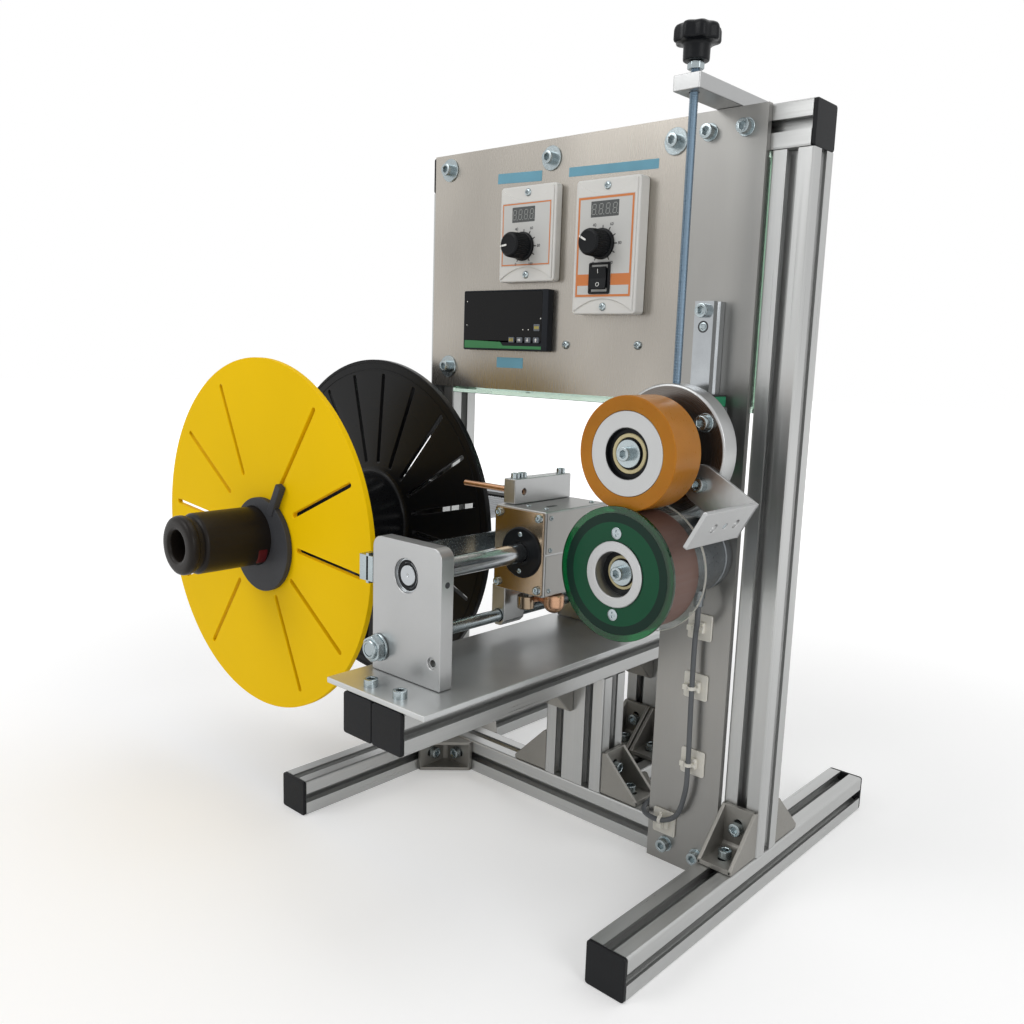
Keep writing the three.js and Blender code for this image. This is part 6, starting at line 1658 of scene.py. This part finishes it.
def tube(path, radius, sides=12, leaning=(1, 1, -0.6)):
    """Each ring stands square to the path: side = slope x leaning, upward = side x slope. The leaning
    direction is one that the path never takes. A point at each end closes the tube."""
    slope = np.gradient(path, axis=0)
    slope /= np.linalg.norm(slope, axis=1)[:, None]
    side = np.cross(slope, leaning)
    side /= np.linalg.norm(side, axis=1)[:, None]
    upward = np.cross(side, slope)
    angle = np.linspace(0, 2 * math.pi, sides + 1)[None, :, None]
    rings = path[:, None] + radius * (np.cos(angle) * side[:, None] + np.sin(angle) * upward[:, None])
    ends = np.repeat(path[[0, -1], None], sides + 1, axis=1)
    return surface(np.concatenate([ends[:1], rings, ends[1:]]))


cable_path = smooth_route(ROUTE)
piece("cable_tube", tube(cable_path, 2.0), cable_sheath, "frame", ["encoder_cable"], 60)
print("cable length in mm", round(float(np.linalg.norm(np.diff(cable_path, axis=0), axis=1).sum())))

# %% [markdown]
# ## Tie mounts
# Each mount is a square plate, stuck on, with a raised saddle that the tie goes through. The tie is a
# flat loop round the cable with a lock head on its left, and a short end cut off on its right.

# %% Mounts and ties
MOUNTS = [(123.7, 196, -27.7, 0), (123.4, 149.8, -27.7, 0), (125, 89.8, -27.7, 0), (103.6, 33, -27.7, 90)]
mount_parts, tie_parts = [], []
for x, z, cable_y, turn_by in MOUNTS:
    base = box_outline(x - 10, x + 10, z - 10, z + 10, 1.6)
    saddle = box_outline(x - 5.2, x + 5.2, z - 4.2, z + 4.2, 1.4)
    mount_parts.append(drawn([base], -21.8, -20.35, "y", 0.4, 3))
    mount_parts.append(drawn([saddle], -25.3, -21.6, "y", 1.5, 4))
    tie_z = z if turn_by == 0 else z + 4.2
    strap = [(2.05, -1.3), (2.9, -1.3), (3.1, -1.1), (3.1, 1.1), (2.9, 1.3), (2.05, 1.3), (2.05, -1.3)]
    loop = lathe(strap, (0, 0, 0), "z", 40)
    head = bar((-6.6, -2.7), (-1.9, 2.1), (-2.1, 2.1), 0.5, "y", 0.5, 3)
    tail = bar((2.7, 6), (0.4, 1.3), (-1.2, 1.2), 0.2, "y", 0.3)
    tie = turned(merged([loop, head, tail]), "y", -turn_by)
    tie_parts.append(moved(tie, x, cable_y, tie_z))
piece("tie_mounts", mount_parts, tie_nylon, "frame")
piece("cable_ties", tie_parts, tie_nylon, "frame")
print("mounts", len(MOUNTS))

# %% [markdown]
# ## Details of the rear cover
# The clear box behind the panel is held by small screws, and the cable enters it through a black
# gland with a hexagon and a domed nut. The sheet's cut edge along the bottom looks deep green, as the
# light in a clear sheet gathers there, so a thin strip of that colour lies along the edge.

# %% Cover details
cover_screws = screws(cross_screw(3, 1.6), "+y", *[(x, 78, z) for x in (-140, 140) for z in (365, 520)])
piece("cover_screws", cover_screws, zinc, "frame")
domed = [(2.1, 343.6), (5.4, 343.6), (6.6, 344.6), (7.3, 346.4), (7.3, 350), (2.1, 350), (2.1, 343.6)]
gland_parts = [moved(hex_nut(17, 5, 7.1), 95, 2, 350), lathe(domed, (95, 2, 0), "z", 48)]
piece("cover_gland", gland_parts, black_knob, "frame")
piece("cover_edge", bar((-149.5, 95), (-14.9, -11.9), (354.7, 355.0), 0, "z"), cover_edge, "frame")
print("cover's screws", len(cover_screws))

# %% [markdown]
# ## The count, and the end
# The number of finished pieces and of their faces is printed before the scene is closed.

# %% Close
print("pieces", len(made), "faces", sum(count for _, count in made))
